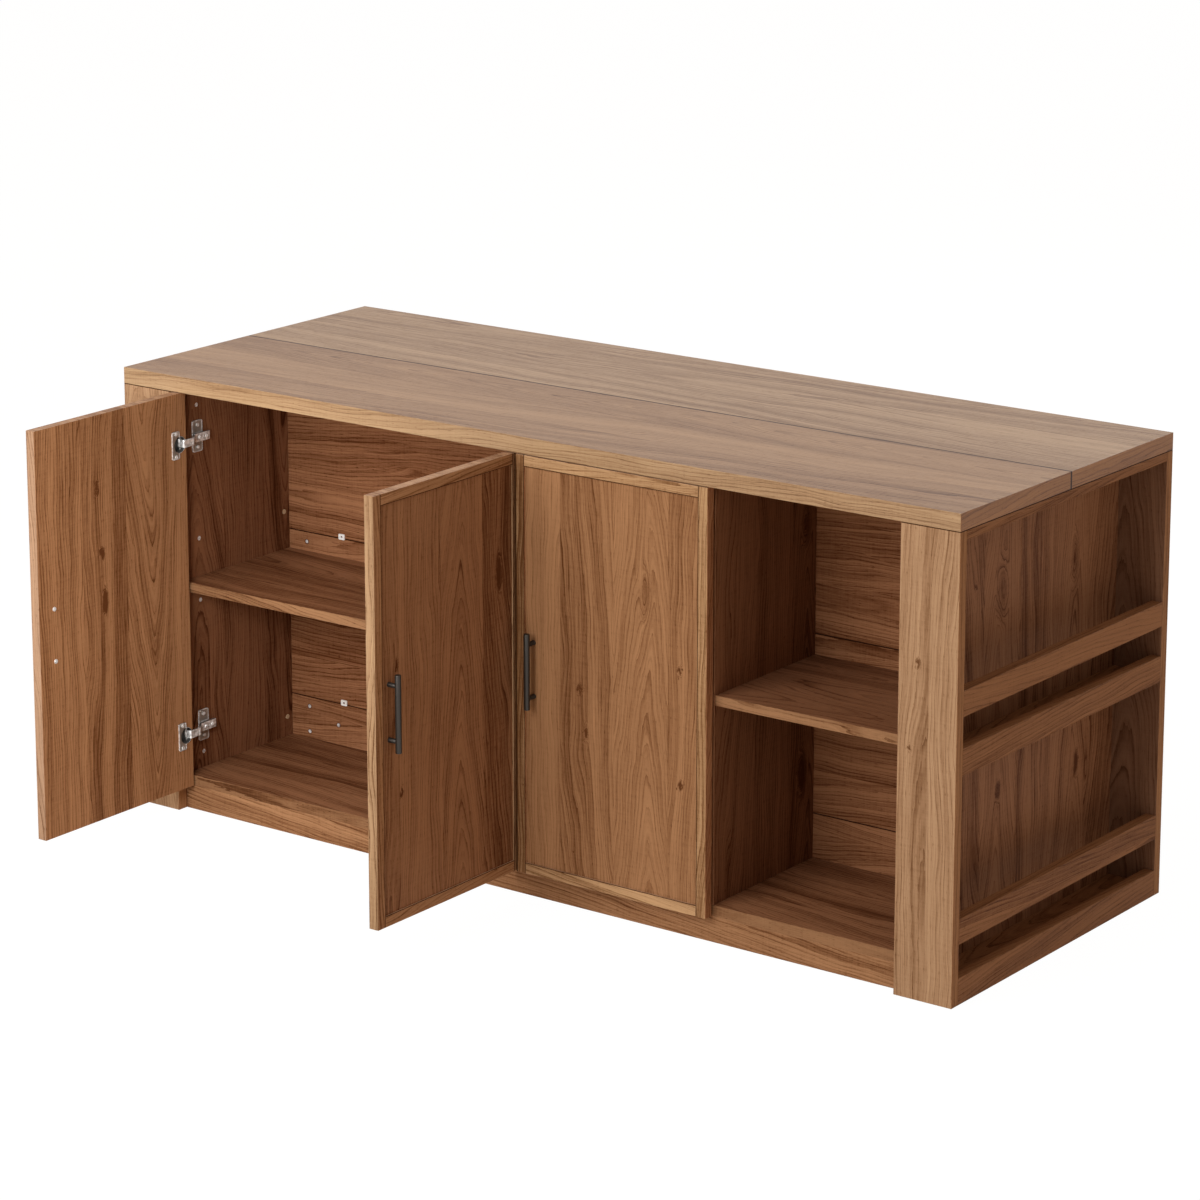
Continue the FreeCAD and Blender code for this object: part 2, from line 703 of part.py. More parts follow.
def make_doors():
    """Three doors: a pair that stands open and a single one that is closed."""
    hardware = {"hinge_plates": [], "hinge_arms": [], "hinge_pins": [], "hinge_screws": []}
    Door("left_door", pair_left, pair_door_width, 1, -inner_half_width, "left_end_panel_front",
         door_opening).make(hardware)
    Door("middle_door", pair_right, pair_door_width, -1, left_divider_left, "left_divider",
         door_opening).make(hardware)
    Door("right_door", single_right, single_right - single_left, -1, right_divider_left,
         "right_divider", 0).make(hardware)
    for node, solids in hardware.items():
        keep(node, *solids)
    edge_swing = hypot(pivot_inset - door_edge_radius, pivot_depth - door_edge_radius) + door_edge_radius
    print("room beside the hinge edge %.2f" % (pivot_inset + door_hinge_gap - edge_swing))
    behind = door_thickness - pivot_depth
    back_swing = hypot(pivot_inset - door_edge_radius, behind - door_edge_radius) + door_edge_radius
    print("room behind the hinge edge %.2f" % (carcass_front - pivot_y - back_swing))


def write_parts():
    os.makedirs("parts", exist_ok=True)
    for node, solids in finished.items():
        shape = solids[0] if len(solids) == 1 else Part.makeCompound(solids)
        shape.exportStep("parts/%s.step" % node)
    print("%d nodes, %d solids" % (len(finished), sum(len(group) for group in finished.values())))


make_cams()
make_cover_caps()
make_back_fixings()
make_doors()
dowels_in_cupboard()
dowels_in_worktop()
for rack_side, rack_name in ((-1, "left"), (1, "right")):
    dowels_in_rack(rack_side, rack_name)
    make_rack(rack_side, rack_name)
make_worktop_and_frame()
make_cupboard()
write_parts()
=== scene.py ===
# %% [markdown]
# Kitchen island in walnut laminate.
# This lesson dresses a finished set of boards and fittings. The boards, doors and hinges come
# from a model that is already made to size. Here they get a camera, a studio, wood, metal and
# the small details that are easier to shape by hand.

import math

import bpy
from mathutils import Matrix, Vector


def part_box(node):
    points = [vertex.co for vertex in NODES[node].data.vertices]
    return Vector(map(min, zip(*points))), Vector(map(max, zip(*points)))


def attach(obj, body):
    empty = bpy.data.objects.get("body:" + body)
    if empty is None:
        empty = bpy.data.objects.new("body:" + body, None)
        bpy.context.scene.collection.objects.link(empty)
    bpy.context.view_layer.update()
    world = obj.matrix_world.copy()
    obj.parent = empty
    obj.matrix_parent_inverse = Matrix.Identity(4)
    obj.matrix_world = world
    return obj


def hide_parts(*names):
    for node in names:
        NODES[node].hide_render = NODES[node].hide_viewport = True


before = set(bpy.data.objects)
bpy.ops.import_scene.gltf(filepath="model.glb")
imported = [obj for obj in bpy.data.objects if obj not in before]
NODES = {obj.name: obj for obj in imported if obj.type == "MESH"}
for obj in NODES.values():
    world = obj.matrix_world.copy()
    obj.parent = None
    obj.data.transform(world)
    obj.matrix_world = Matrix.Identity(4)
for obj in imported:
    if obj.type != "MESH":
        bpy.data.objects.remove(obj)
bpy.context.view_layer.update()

# %% [markdown]
# The photograph was taken from the right of the island and from above, with a long lens. A short
# lens close by would make the uprights lean together. A long lens far away keeps them almost
# parallel, and a small shift of the lens puts the island where it stands in the picture.

# %% Place the camera
CAMERA_PLACE = Vector((4.5842, -6.2674, 2.7010))
CAMERA_TURN = -0.6383
CAMERA_DIP = 0.2213
FOCAL_PIXELS = 4085.2
PICTURE_PIXELS = 1200
SENSOR_WIDTH = 36.0
LENS_CENTRE_HEIGHT = 380.0

camera_data = bpy.data.cameras.new("camera")
camera_data.sensor_width = SENSOR_WIDTH
camera_data.lens = FOCAL_PIXELS / PICTURE_PIXELS * SENSOR_WIDTH
camera_data.shift_y = LENS_CENTRE_HEIGHT / PICTURE_PIXELS - 0.5
camera = bpy.data.objects.new("camera", camera_data)
bpy.context.scene.collection.objects.link(camera)
look = Vector((math.sin(CAMERA_TURN) * math.cos(CAMERA_DIP),
               math.cos(CAMERA_TURN) * math.cos(CAMERA_DIP), -math.sin(CAMERA_DIP)))
camera.location = CAMERA_PLACE
camera.rotation_euler = look.to_track_quat("-Z", "Y").to_euler()
bpy.context.scene.camera = camera
print("lens %.1f mm, shift %.3f" % (camera_data.lens, camera_data.shift_y))

# %% [markdown]
# A finish is a tree of nodes. The nodes could be added and linked one by one, but shader maths
# reads best as plain sums. So a small class wraps the output of a node, and the signs of a sum add
# the Math nodes. One method makes every other kind of node.

# %% Values in sums
class Flow:
    """A value that changes over a surface: the output of a node, usable in sums."""

    def __init__(self, sheet, node, output=0):
        self.sheet = sheet
        self.node = node
        self.socket = node.outputs[output]

    def other(self, output):
        """Another output of the same node."""
        return Flow(self.sheet, self.node, output)

    def __add__(self, value):
        return self.sheet.maths("ADD", self, value)

    def __sub__(self, value):
        return self.sheet.maths("SUBTRACT", self, value)

    def __rsub__(self, value):
        return self.sheet.maths("SUBTRACT", value, self)

    def __mul__(self, value):
        return self.sheet.maths("MULTIPLY", self, value)

    def __truediv__(self, value):
        return self.sheet.maths("DIVIDE", self, value)

    __radd__ = __add__
    __rmul__ = __mul__


print("values can be added and multiplied")

# %% Trees of nodes
class Sheet:
    """A node tree whose nodes all come from one method."""

    def __init__(self, tree):
        self.tree = tree

    def feed(self, socket, value):
        if isinstance(value, Flow):
            self.tree.links.new(value.socket, socket)
        elif value is not None:
            socket.default_value = value

    def node(self, kind, sockets, output=0, stops=None, **settings):
        """A node of this kind: its settings first, then the values or links of its sockets."""
        made = self.tree.nodes.new(kind)
        for setting, value in settings.items():
            setattr(made, setting, value)
        if stops:
            ramp = made.color_ramp
            while len(ramp.elements) < len(stops):
                ramp.elements.new(1.0)
            for element, (place, colour) in zip(ramp.elements, stops):
                element.position = place
                element.color = (*colour, 1.0)
        for socket, value in sockets.items():
            self.feed(made.inputs[socket], value)
        return Flow(self, made, output)

    def maths(self, operation, *values):
        return self.node("ShaderNodeMath", dict(enumerate(values)), operation=operation)

    def seen_directly(self):
        """1 for rays of the camera and of glossy or clear surfaces, and 0 for light on the object."""
        rays = self.node("ShaderNodeLightPath", {}, output="Is Camera Ray")
        glossy = self.maths("MAXIMUM", rays, rays.other("Is Glossy Ray"))
        return self.maths("MAXIMUM", glossy, rays.other("Is Transmission Ray"))

    def noise(self, across, along, size, key, detail=2.0):
        """Soft cloudy values between 0 and 1. size gives how wide and how long a cloud is."""
        width, length = size
        cloud = {"X": across / width, "Y": along / length, "Z": key}
        place = self.node("ShaderNodeCombineXYZ", cloud)
        return self.node("ShaderNodeTexNoise", {"Vector": place, "Scale": 1.0, "Detail": detail})

    def mix(self, factor, first, second, blend="MIX"):
        """A colour between two others."""
        colours = {"Factor": factor, 6: first, 7: second}
        return self.node("ShaderNodeMix", colours, output=2, data_type="RGBA", blend_type=blend)


print("one method makes every node")

# %% A finish
class Finish(Sheet):
    """One material, with the principled surface that every finish here starts from."""

    def __init__(self, name, **surface):
        self.material = bpy.data.materials.new(name)
        self.material.use_nodes = True
        super().__init__(self.material.node_tree)
        self.surface = self.tree.nodes["Principled BSDF"]
        for setting, value in surface.items():
            socket = setting.replace("_", " ").title().replace("Ior", "IOR")
            self.feed(self.surface.inputs[socket], value)

    def bump(self, height, distance, strength):
        sockets = {"Height": height, "Distance": distance, "Strength": strength}
        self.feed(self.surface.inputs["Normal"], self.node("ShaderNodeBump", sockets))

    def colour(self, value):
        self.feed(self.surface.inputs["Base Color"], value)

    def roughness(self, value):
        self.feed(self.surface.inputs["Roughness"], value)


print("a finish starts from one principled surface")

# %% [markdown]
# The studio is white all round. A sky as bright as that would wash the wood out, so the floor and
# the sky are white only for the camera and for reflections, and their light on the wood is kept
# lower. The light of the sky is a little warm, as light that comes off pale wooden walls is, so
# shaded faces keep the red of the wood. One wide lamp stands in front, to the left and above:
# fronts are bright, ends are dim, and the insides fall off softly. A small second lamp with a
# narrow spread fills the open left bay and the inner face of its door, as a reflector card beside
# the lens would. A weak lamp behind keeps the seating side readable.

# %% Build the sky and the floor
SKY_LIGHT = 0.42
SKY_WARMTH = (1.0, 0.82, 0.68, 1.0)
WHITE = (1.0, 1.0, 1.0, 1.0)
FLOOR_SIZE = 60.0
FLOOR_DROP = 0.0004
FLOOR_WHITE = (0.9, 0.82, 0.73, 1.0)
FLOOR_SHADOW_SHARE = 0.06
FLOOR_GLOW = 1.04

world = bpy.data.worlds.new("studio")
bpy.context.scene.world = world
world.use_nodes = True
sky = Sheet(world.node_tree)
sky_background = world.node_tree.nodes["Background"]
sky.feed(sky_background.inputs["Color"], sky.mix(sky.seen_directly(), SKY_WARMTH, WHITE))
sky_strength = sky.node("ShaderNodeMix", {"Factor": sky.seen_directly(), "A": SKY_LIGHT, "B": 1.0})
sky.feed(sky_background.inputs["Strength"], sky_strength)

bpy.ops.mesh.primitive_plane_add(size=FLOOR_SIZE, location=(0.0, 0.0, -FLOOR_DROP))
floor = bpy.context.object
floor.name = "studio_floor"
paper = Finish("studio_white", base_color=FLOOR_WHITE, roughness=1.0, specular_ior_level=0.0)
paper_glow = paper.node("ShaderNodeEmission", {"Color": WHITE, "Strength": FLOOR_GLOW})
paper_share = paper.seen_directly() * (1.0 - FLOOR_SHADOW_SHARE)
paper_sockets = {"Fac": paper_share, 1: Flow(paper, paper.surface), 2: paper_glow}
paper_blend = paper.node("ShaderNodeMixShader", paper_sockets)
paper.feed(paper.tree.nodes["Material Output"].inputs["Surface"], paper_blend)
floor.data.materials.append(paper.material)
print("floor and sky ready")

# %% Hang the lamps
def add_lamp(name, place, target, size, power, spread=180.0):
    """A square soft lamp that points at its target. spread is in degrees."""
    data = bpy.data.lights.new(name, "AREA")
    data.shape = "SQUARE"
    data.size = size
    data.energy = power
    data.spread = math.radians(spread)
    lamp = bpy.data.objects.new(name, data)
    bpy.context.scene.collection.objects.link(lamp)
    lamp.location = place
    lamp.rotation_euler = (Vector(target) - Vector(place)).to_track_quat("-Z", "Y").to_euler()


add_lamp("front_lamp", (-0.8, -5.5, 3.5), (0.0, 0.0, 0.5), size=4.6, power=345.0)
add_lamp("bay_lamp", (-0.02, -1.75, 1.10), (-0.86, -0.56, 0.45), size=0.4, power=2.6, spread=70.0)
add_lamp("rear_lamp", (0.8, 5.2, 2.6), (0.0, 0.4, 0.4), size=2.4, power=95.0)
bpy.context.scene.view_settings.view_transform = "Standard"
print("studio ready")

# %% [markdown]
# Walnut laminate shows three things at once: wide drifts of tone that follow the growth rings,
# the thin dark edge of each ring, and hair-fine fibres and pores. The sheets are printed from
# veneer that was laid side by side, so the figure starts afresh every hand's breadth.
# Each strip here is a slanting cut through a trunk. The distance from the middle of the trunk
# gives the rings, and a slant makes them close in pointed arches. Noise bends them as real
# growth does, and small eyes push them aside. A picture of veneer would be quicker, but it would
# repeat, and nodes can cut every board from its own place in the tree. The sizes of the noises are
# in metres, first across the grain and then along it. What is added to a key or a seed only keeps
# the noises apart.

# %% Directions of the grain
LEVEL = {"x": "y", "y": "x", "z": "x"}
UPRIGHT = {"x": "z", "y": "z", "z": "x"}
DEEP = {"x": "y", "y": "x", "z": "y"}
AXES = "xyz"
SQUARE_ON = 0.6


def face_coordinates(finish, lie):
    """How far a point is along the grain and across it, and which way its face looks."""
    place = finish.node("ShaderNodeTexCoord", {}, output="Object")
    spot = finish.node("ShaderNodeSeparateXYZ", {"Vector": place})
    facing = finish.node("ShaderNodeSeparateXYZ", {"Vector": place.other("Normal")})
    coordinate = {axis: spot.other(index) for index, axis in enumerate(AXES)}
    faces = {}
    for index, axis in enumerate(AXES):
        size = finish.maths("ABSOLUTE", facing.other(index))
        faces[axis] = finish.maths("GREATER_THAN", size, SQUARE_ON)
    along = 0.0
    across = 0.0
    for axis, mask in faces.items():
        third = (set(AXES) - {axis, lie[axis]}).pop()
        along = mask * coordinate[lie[axis]] + along
        across = mask * coordinate[third] + across
    faces["-x"] = finish.maths("LESS_THAN", facing, -SQUARE_ON)
    return along, across, faces, coordinate


print("grain lies level, upright or from front to back")

# %% Strips of veneer
STRIP = 0.125
STRIPS_BELOW = 10
STRIP_KEY_STEP = 3.7
SAME_STRIP = 0.1
HEART_SPREAD = STRIP * 2.6
HEART_DEPTH = 0.010
HEART_DEPTH_PLAY = 0.05
TAPER_PLAY = 0.22
STRIP_TONE_PLAY = 0.20


def cut_strips(finish, across, seed, shift, hearts):
    """Divide a board into strips, each with its own key, tone and place in a trunk."""
    strip_place = (across + (shift + STRIPS_BELOW * STRIP)) / STRIP
    strip_index = finish.maths("FLOOR", strip_place)
    key = strip_index * STRIP_KEY_STEP + seed
    chance = finish.node("ShaderNodeTexWhiteNoise", {"W": key}, output="Color", noise_dimensions="1D")
    chances = finish.node("ShaderNodeSeparateColor", {"Color": chance})
    centre = (chances - 0.5) * HEART_SPREAD
    depth = chances.other(1) * HEART_DEPTH_PLAY + HEART_DEPTH
    taper = (chances.other(2) - 0.5) * TAPER_PLAY
    tone = (chances - 0.5) * STRIP_TONE_PLAY
    for number, (heart_centre, heart_depth, heart_taper, heart_tone) in hearts.items():
        here = finish.maths("COMPARE", strip_index, float(number + STRIPS_BELOW), SAME_STRIP)
        centre = here * (heart_centre - centre) + centre
        depth = here * (heart_depth - depth) + depth
        taper = here * (heart_taper - taper) + taper
        tone = here * (heart_tone - tone) + tone
    from_centre = (strip_place - strip_index - 0.5) * STRIP - centre
    return key, from_centre, depth, taper, tone


print("walnut in strips of", STRIP, "m")

# %% Knots and eyes
GNARL_SIZE = (0.006, 0.013)
GNARLED_AREA = 3.2e-4
GNARL_ALONG = 0.7
KNOT_SHADE = 1.6
EYE_SPACING = (0.07, 0.40)
EYE_SHRINK = 2.6
EYE_SHARE = 0.7


def grow_knots(finish, across, along, key, knots):
    """How far the listed knots push the rings aside, and how dark they are."""
    gnarl = finish.noise(across, along, GNARL_SIZE, key + 13.0)
    push = 0.0
    dark = 0.0
    for knot_across, knot_along, half_across, half_along, strength in knots:
        rough = GNARLED_AREA / (half_across * half_along)
        knot_x = (across - knot_across) / half_across + (gnarl - 0.5) * rough
        knot_y = (along - knot_along) / half_along + (gnarl - 0.5) * (GNARL_ALONG * rough)
        reach = finish.maths("MAXIMUM", 1.0 - (knot_x * knot_x + knot_y * knot_y), 0.0)
        push = reach * reach * strength + push
        dark = reach * reach * gnarl * (KNOT_SHADE * min(rough, 1.0)) + dark
    return push, dark


def grow_eyes(finish, across, along, key):
    """How far small eyes, scattered by chance, push the rings aside."""
    width, length = EYE_SPACING
    spacing = {"X": across / width, "Y": along / length, "Z": key}
    place = finish.node("ShaderNodeCombineXYZ", spacing)
    eye = finish.node("ShaderNodeTexVoronoi", {"Vector": place, "Scale": 1.0}, output="Distance")
    size = finish.node("ShaderNodeSeparateColor", {"Color": eye.other("Color")})
    push = finish.maths("MAXIMUM", 1.0 - eye * EYE_SHRINK, 0.0)
    return push * push * size * EYE_SHARE


print("eyes about every", EYE_SPACING, "m")

# %% Walnut laminate
SWAY_SIZE = (0.16, 0.55)
SWAY = 0.075
WAVE_SIZE = (0.040, 0.14)
WAVE = 0.020
JAG_SIZE = (0.0050, 0.045)
JAG = 0.0028
PUSH_REACH = 0.022
DRIFT_SIZE = (0.024, 1.4)
DRIFT_OF_RINGS = 2.0
RING_WIDTH = 0.0078
HAIR_SIZE = (0.0019, 0.16)
FIBRE_SIZE = (0.0011, 0.06)
RIPPLE_SIZE = (0.030, 0.0035)
PORE_SIZE = (0.0011, 0.014)
PORE_LEVEL = 0.71
RING_AVERAGE = 0.2
DARKENS = {"drift": 1.05, "ring": 0.36, "hair": 0.72, "fibre": 0.46, "ripple": 0.10,
           "eye": 0.16, "knot": 0.62, "pore": 0.20, "hole": 0.6}
MIDDLE_DARKNESS = 0.46
SATIN = {"plain": 0.44, "fibre": 0.10, "pore": 0.12}
RELIEF = {"fibre": 0.5, "pore": 0.5, "ring": 0.2}
WOOD_BUMP = (0.0002, 0.35)
WOOD_RAMP = [
    (0.0, (1.36, 1.42, 1.44)), (0.35, (1.13, 1.16, 1.17)), (0.55, (0.93, 0.90, 0.87)),
    (0.78, (0.64, 0.56, 0.49)), (1.0, (0.36, 0.26, 0.19)),
]
# Painted shadow: the colour that the wood is multiplied by in the gaps where boards meet.
SEAM_SHADE = (0.16, 0.11, 0.08, 1.0)


def walnut(name, lie, seed, tone, face_tones=None, joints=(), shift=0.0, contrast=1.0, gloss=0.03,
           hearts=None, knots=(), calm=1.0, hole_shades=(), quiet=None):
    """Satin walnut laminate. lie gives the axis of the grain for faces that look along each axis.

    joints lists lines of painted shadow in the gaps where boards meet: the axis that they stand
    across, their place and their half width.
    hearts gives chosen strips the middle of their trunk: its offset, depth and taper, and a tone.
    knots lists places of small knots: across, along, their half sizes and their strength.
    holes lists painted shade round the heads of screws and behind clips in front faces, as if
    these sat sunk in the board: along, across and their radius.
    quiet gives the share of the contrast that faces along an axis keep.
    """
    finish = Finish(name, specular_ior_level=gloss)
    along, across, faces, coordinate = face_coordinates(finish, lie)
    key, from_centre, depth, taper, strip_tone = cut_strips(finish, across, seed, shift, hearts or {})

    sway = finish.noise(across, along, SWAY_SIZE, key, 1.0) - 0.5
    wave = finish.noise(across, along, WAVE_SIZE, key + 5.0, 1.0) - 0.5
    jag = finish.noise(across, along, JAG_SIZE, key + 9.0, 1.0) - 0.5
    offset = from_centre + sway * (SWAY * calm) + wave * (WAVE * calm)
    trunk = finish.maths("SQRT", offset * offset + depth * depth) + taper * along
    knot_push, knot_dark = grow_knots(finish, across, along, key, knots)
    push = grow_eyes(finish, across, along, key) + knot_push
    trunk = trunk + push * PUSH_REACH

    drift = finish.noise(trunk, along, DRIFT_SIZE, key)
    ring = finish.maths("FRACT", (trunk + jag * JAG) / RING_WIDTH + drift * DRIFT_OF_RINGS)
    ring_edge = ring * ring * ring * ring
    hair = finish.noise(trunk, along, HAIR_SIZE, seed + 1.0, 1.0)
    fibre = finish.noise(across, along, FIBRE_SIZE, seed, 1.0)
    ripple = finish.noise(across, along, RIPPLE_SIZE, seed + 7.0, 0.0)
    pores = finish.noise(across, along, PORE_SIZE, seed + 3.0, 0.0)
    pore_mask = finish.maths("GREATER_THAN", pores, PORE_LEVEL)

    figure = ((drift - 0.5) * DARKENS["drift"] + (ring_edge - RING_AVERAGE) * DARKENS["ring"]
              + (hair - 0.5) * DARKENS["hair"] + (fibre - 0.5) * DARKENS["fibre"]
              + (ripple - 0.5) * DARKENS["ripple"] + strip_tone + push * DARKENS["eye"]
              + knot_dark * DARKENS["knot"] + pore_mask * DARKENS["pore"]) * contrast
    for axis, share in (quiet or {}).items():
        figure = figure * (faces[axis] * (share - 1.0) + 1.0)
    darkness = figure + MIDDLE_DARKNESS
    # Painted shade round the screw heads and behind the clips of the back boards.
    for hole_along, hole_across, radius in hole_shades:
        hole_x = along - hole_along
        hole_y = across - hole_across
        in_hole_shade = finish.maths("LESS_THAN", hole_x * hole_x + hole_y * hole_y, radius * radius)
        in_front = finish.maths("LESS_THAN", coordinate["y"], 0.0)
        darkness = darkness + in_hole_shade * in_front * DARKENS["hole"]
    wood = finish.node("ShaderNodeValToRGB", {"Fac": darkness}, stops=WOOD_RAMP)

    # Painted shadow lines in the gaps where boards meet.
    seam = 0.0
    for axis, place, half_width in joints:
        away = finish.maths("ABSOLUTE", coordinate[axis] - place)
        seam = finish.maths("LESS_THAN", away, half_width) + seam
    if joints:
        wood = finish.mix(seam, wood, SEAM_SHADE)
    tint = (*tone, 1.0)
    # Faces along some axes take their own tone; the darker, redder tones of sideways faces are
    # painted shade.
    for axis, face_tone in (face_tones or {}).items():
        tint = finish.mix(faces[axis], tint, (*face_tone, 1.0))
    finish.colour(finish.mix(1.0, wood, tint, "MULTIPLY"))
    finish.roughness((fibre - 0.5) * SATIN["fibre"] + pore_mask * SATIN["pore"] + SATIN["plain"])
    height = fibre * RELIEF["fibre"] - pore_mask * RELIEF["pore"] - ring_edge * RELIEF["ring"]
    finish.bump(height, *WOOD_BUMP)
    return finish.material


print("walnut has rings about every", RING_WIDTH, "m")

# %% [markdown]
# One finish for all boards would be shorter, but its figure would run on from board to board, as
# it never does on furniture. So every board gets its own cut of the laminate. The tones differ as
# they do on the real piece: frames and edges are pale, door panels and insides are a redder brown.
# Some tones are painted shade as well: the faces of legs, worktop and right door that look sideways,
# the rear legs' faces, the right bay and the middle door's frame get darker, redder copies of their
# tone, as they show in shade. The left door's outside, which looks to the left while it stands open,
# has the tone of the other fronts.

# %% Tones of the wood
RIGHT_DOOR_TONE = (0.250, 0.124, 0.058)
MIDDLE_DOOR_TONE = (0.253, 0.118, 0.057)
LEFT_DOOR_TONE = (0.298, 0.141, 0.064)
RIGHT_FRAME_TONE = (0.345, 0.204, 0.104)
# Painted shade: a darker, redder copy of the frame tone for the middle door, which stands sideways
# while open.
SHADED_MIDDLE_FRAME_TONE = (0.328, 0.166, 0.080)
LEFT_FRAME_TONE = (0.338, 0.190, 0.094)
LEFT_FRONT_TONE = (0.250, 0.121, 0.057)
LEG_TONE = (0.316, 0.190, 0.107)
# Painted shade: a darker, redder copy of the leg tone for the faces of the legs that look sideways.
SHADED_LEG_SIDE_TONE = (0.284, 0.136, 0.060)
# Painted shade: a darker copy of the leg tone for the rear legs' faces, as in the shade of the front
# legs.
SHADED_REAR_LEG_TONE = (0.200, 0.106, 0.064)
WORKTOP_TONE = (0.322, 0.189, 0.105)
WORKTOP_REAR_TONE = (0.380, 0.247, 0.152)
WORKTOP_EDGE_TONE = (0.336, 0.213, 0.115)
# Painted shade: a darker, redder copy of the edge tone for the ends of the worktop.
SHADED_WORKTOP_SIDE_TONE = (0.270, 0.120, 0.042)
LEFT_EDGE_TONE = (0.262, 0.156, 0.096)
MIDDLE_EDGE_TONE = (0.308, 0.189, 0.105)
# Painted shade: a redder copy of the edge tone for the right door's edges that look sideways.
SHADED_RIGHT_EDGE_TONE = (0.360, 0.165, 0.080)
DOOR_TOP_TONE = (0.410, 0.240, 0.145)
SHELF_EDGE_TONE = (0.204, 0.103, 0.050)
CARCASS_TONE = (0.206, 0.089, 0.042)
# Painted shade: a darker copy of the carcass tone for the divider and shelf of the right bay.
SHADED_RIGHT_BAY_TONE = (0.172, 0.073, 0.035)
BACK_TONE = (0.245, 0.108, 0.051)
LEFT_PANEL_TONE = (0.187, 0.076, 0.035)
PANEL_TONE = (0.248, 0.116, 0.060)
RACK_TONE = (0.230, 0.103, 0.045)
PLINTH_TONE = (0.265, 0.135, 0.066)
# The sideways faces of legs and worktop and the rear legs' faces take the shaded copies: painted
# shade.
LEG_TONES = {"x": SHADED_LEG_SIDE_TONE}
REAR_LEG_TONES = {"x": SHADED_LEG_SIDE_TONE, "y": SHADED_REAR_LEG_TONE}
WORKTOP_TONES = {"y": WORKTOP_EDGE_TONE, "x": SHADED_WORKTOP_SIDE_TONE}
print("tones are plain colours, without figure")

# %% Wood for every board
BOARDS = {
    "worktop_front": (LEVEL, WORKTOP_TONE, WORKTOP_TONES),
    "worktop_rear": (LEVEL, WORKTOP_REAR_TONE, WORKTOP_TONES),
    "front_left_leg": (UPRIGHT, LEG_TONE, LEG_TONES),
    "front_right_leg": (UPRIGHT, LEG_TONE, LEG_TONES),
    "rear_left_leg": (UPRIGHT, LEG_TONE, REAR_LEG_TONES),
    "rear_right_leg": (UPRIGHT, LEG_TONE, REAR_LEG_TONES),
    "left_end_panel_front": (UPRIGHT, LEFT_PANEL_TONE, None),
    "left_end_panel_rear": (UPRIGHT, LEFT_PANEL_TONE, None),
    "right_end_panel_front": (UPRIGHT, PANEL_TONE, None),
    "right_end_panel_rear": (UPRIGHT, PANEL_TONE, None),
    "left_divider": (UPRIGHT, CARCASS_TONE, None),
    "right_divider": (UPRIGHT, SHADED_RIGHT_BAY_TONE, None),
    "upper_back_board": (LEVEL, BACK_TONE, None),
    "middle_back_board": (LEVEL, BACK_TONE, None),
    "lower_back_board": (LEVEL, BACK_TONE, None),
    "plinth_board": (LEVEL, PLINTH_TONE, None),
    "bottom_panel": (LEVEL, CARCASS_TONE, {"y": SHELF_EDGE_TONE}),
    "left_bay_shelf": (LEVEL, CARCASS_TONE, {"y": SHELF_EDGE_TONE}),
    "middle_bay_shelf": (LEVEL, CARCASS_TONE, {"y": SHELF_EDGE_TONE}),
    "right_bay_shelf": (LEVEL, SHADED_RIGHT_BAY_TONE, {"y": SHELF_EDGE_TONE}),
}
for side in ("left", "right"):
    for board in ("top_board", "shelves", "lips", "guard_rails"):
        BOARDS["%s_rack_%s" % (side, board)] = (DEEP, RACK_TONE, None)
DOOR_WOOD = (("left_door", "y", LEFT_DOOR_TONE, LEFT_FRAME_TONE, LEFT_EDGE_TONE),
             ("middle_door", "y", MIDDLE_DOOR_TONE, SHADED_MIDDLE_FRAME_TONE, MIDDLE_EDGE_TONE),
             ("right_door", "x", RIGHT_DOOR_TONE, RIGHT_FRAME_TONE, SHADED_RIGHT_EDGE_TONE))
for door, edge_axis, door_tone, frame_tone, edge_tone in DOOR_WOOD:
    rail_lie = DEEP if edge_axis == "y" else LEVEL
    edges = {edge_axis: edge_tone, "z": DOOR_TOP_TONE}
    BOARDS[door + "_slab"] = (UPRIGHT, door_tone, dict(edges))
    BOARDS[door + "_stiles"] = (UPRIGHT, frame_tone, edges)
    BOARDS[door + "_rails"] = (rail_lie, frame_tone, {"z": DOOR_TOP_TONE})
BOARDS["left_door_slab"][2]["-x"] = LEFT_FRONT_TONE
print("wood chosen for", len(BOARDS), "nodes")

# %% Helpers that dress
def dress_piece(piece, material):
    """Give an object this material in all its slots."""
    piece.data.materials.clear()
    piece.data.materials.append(material)


def dress(node, material):
    """Give a node of the model this material."""
    dress_piece(NODES[node], material)


print("a node keeps its shape and gets a new finish")
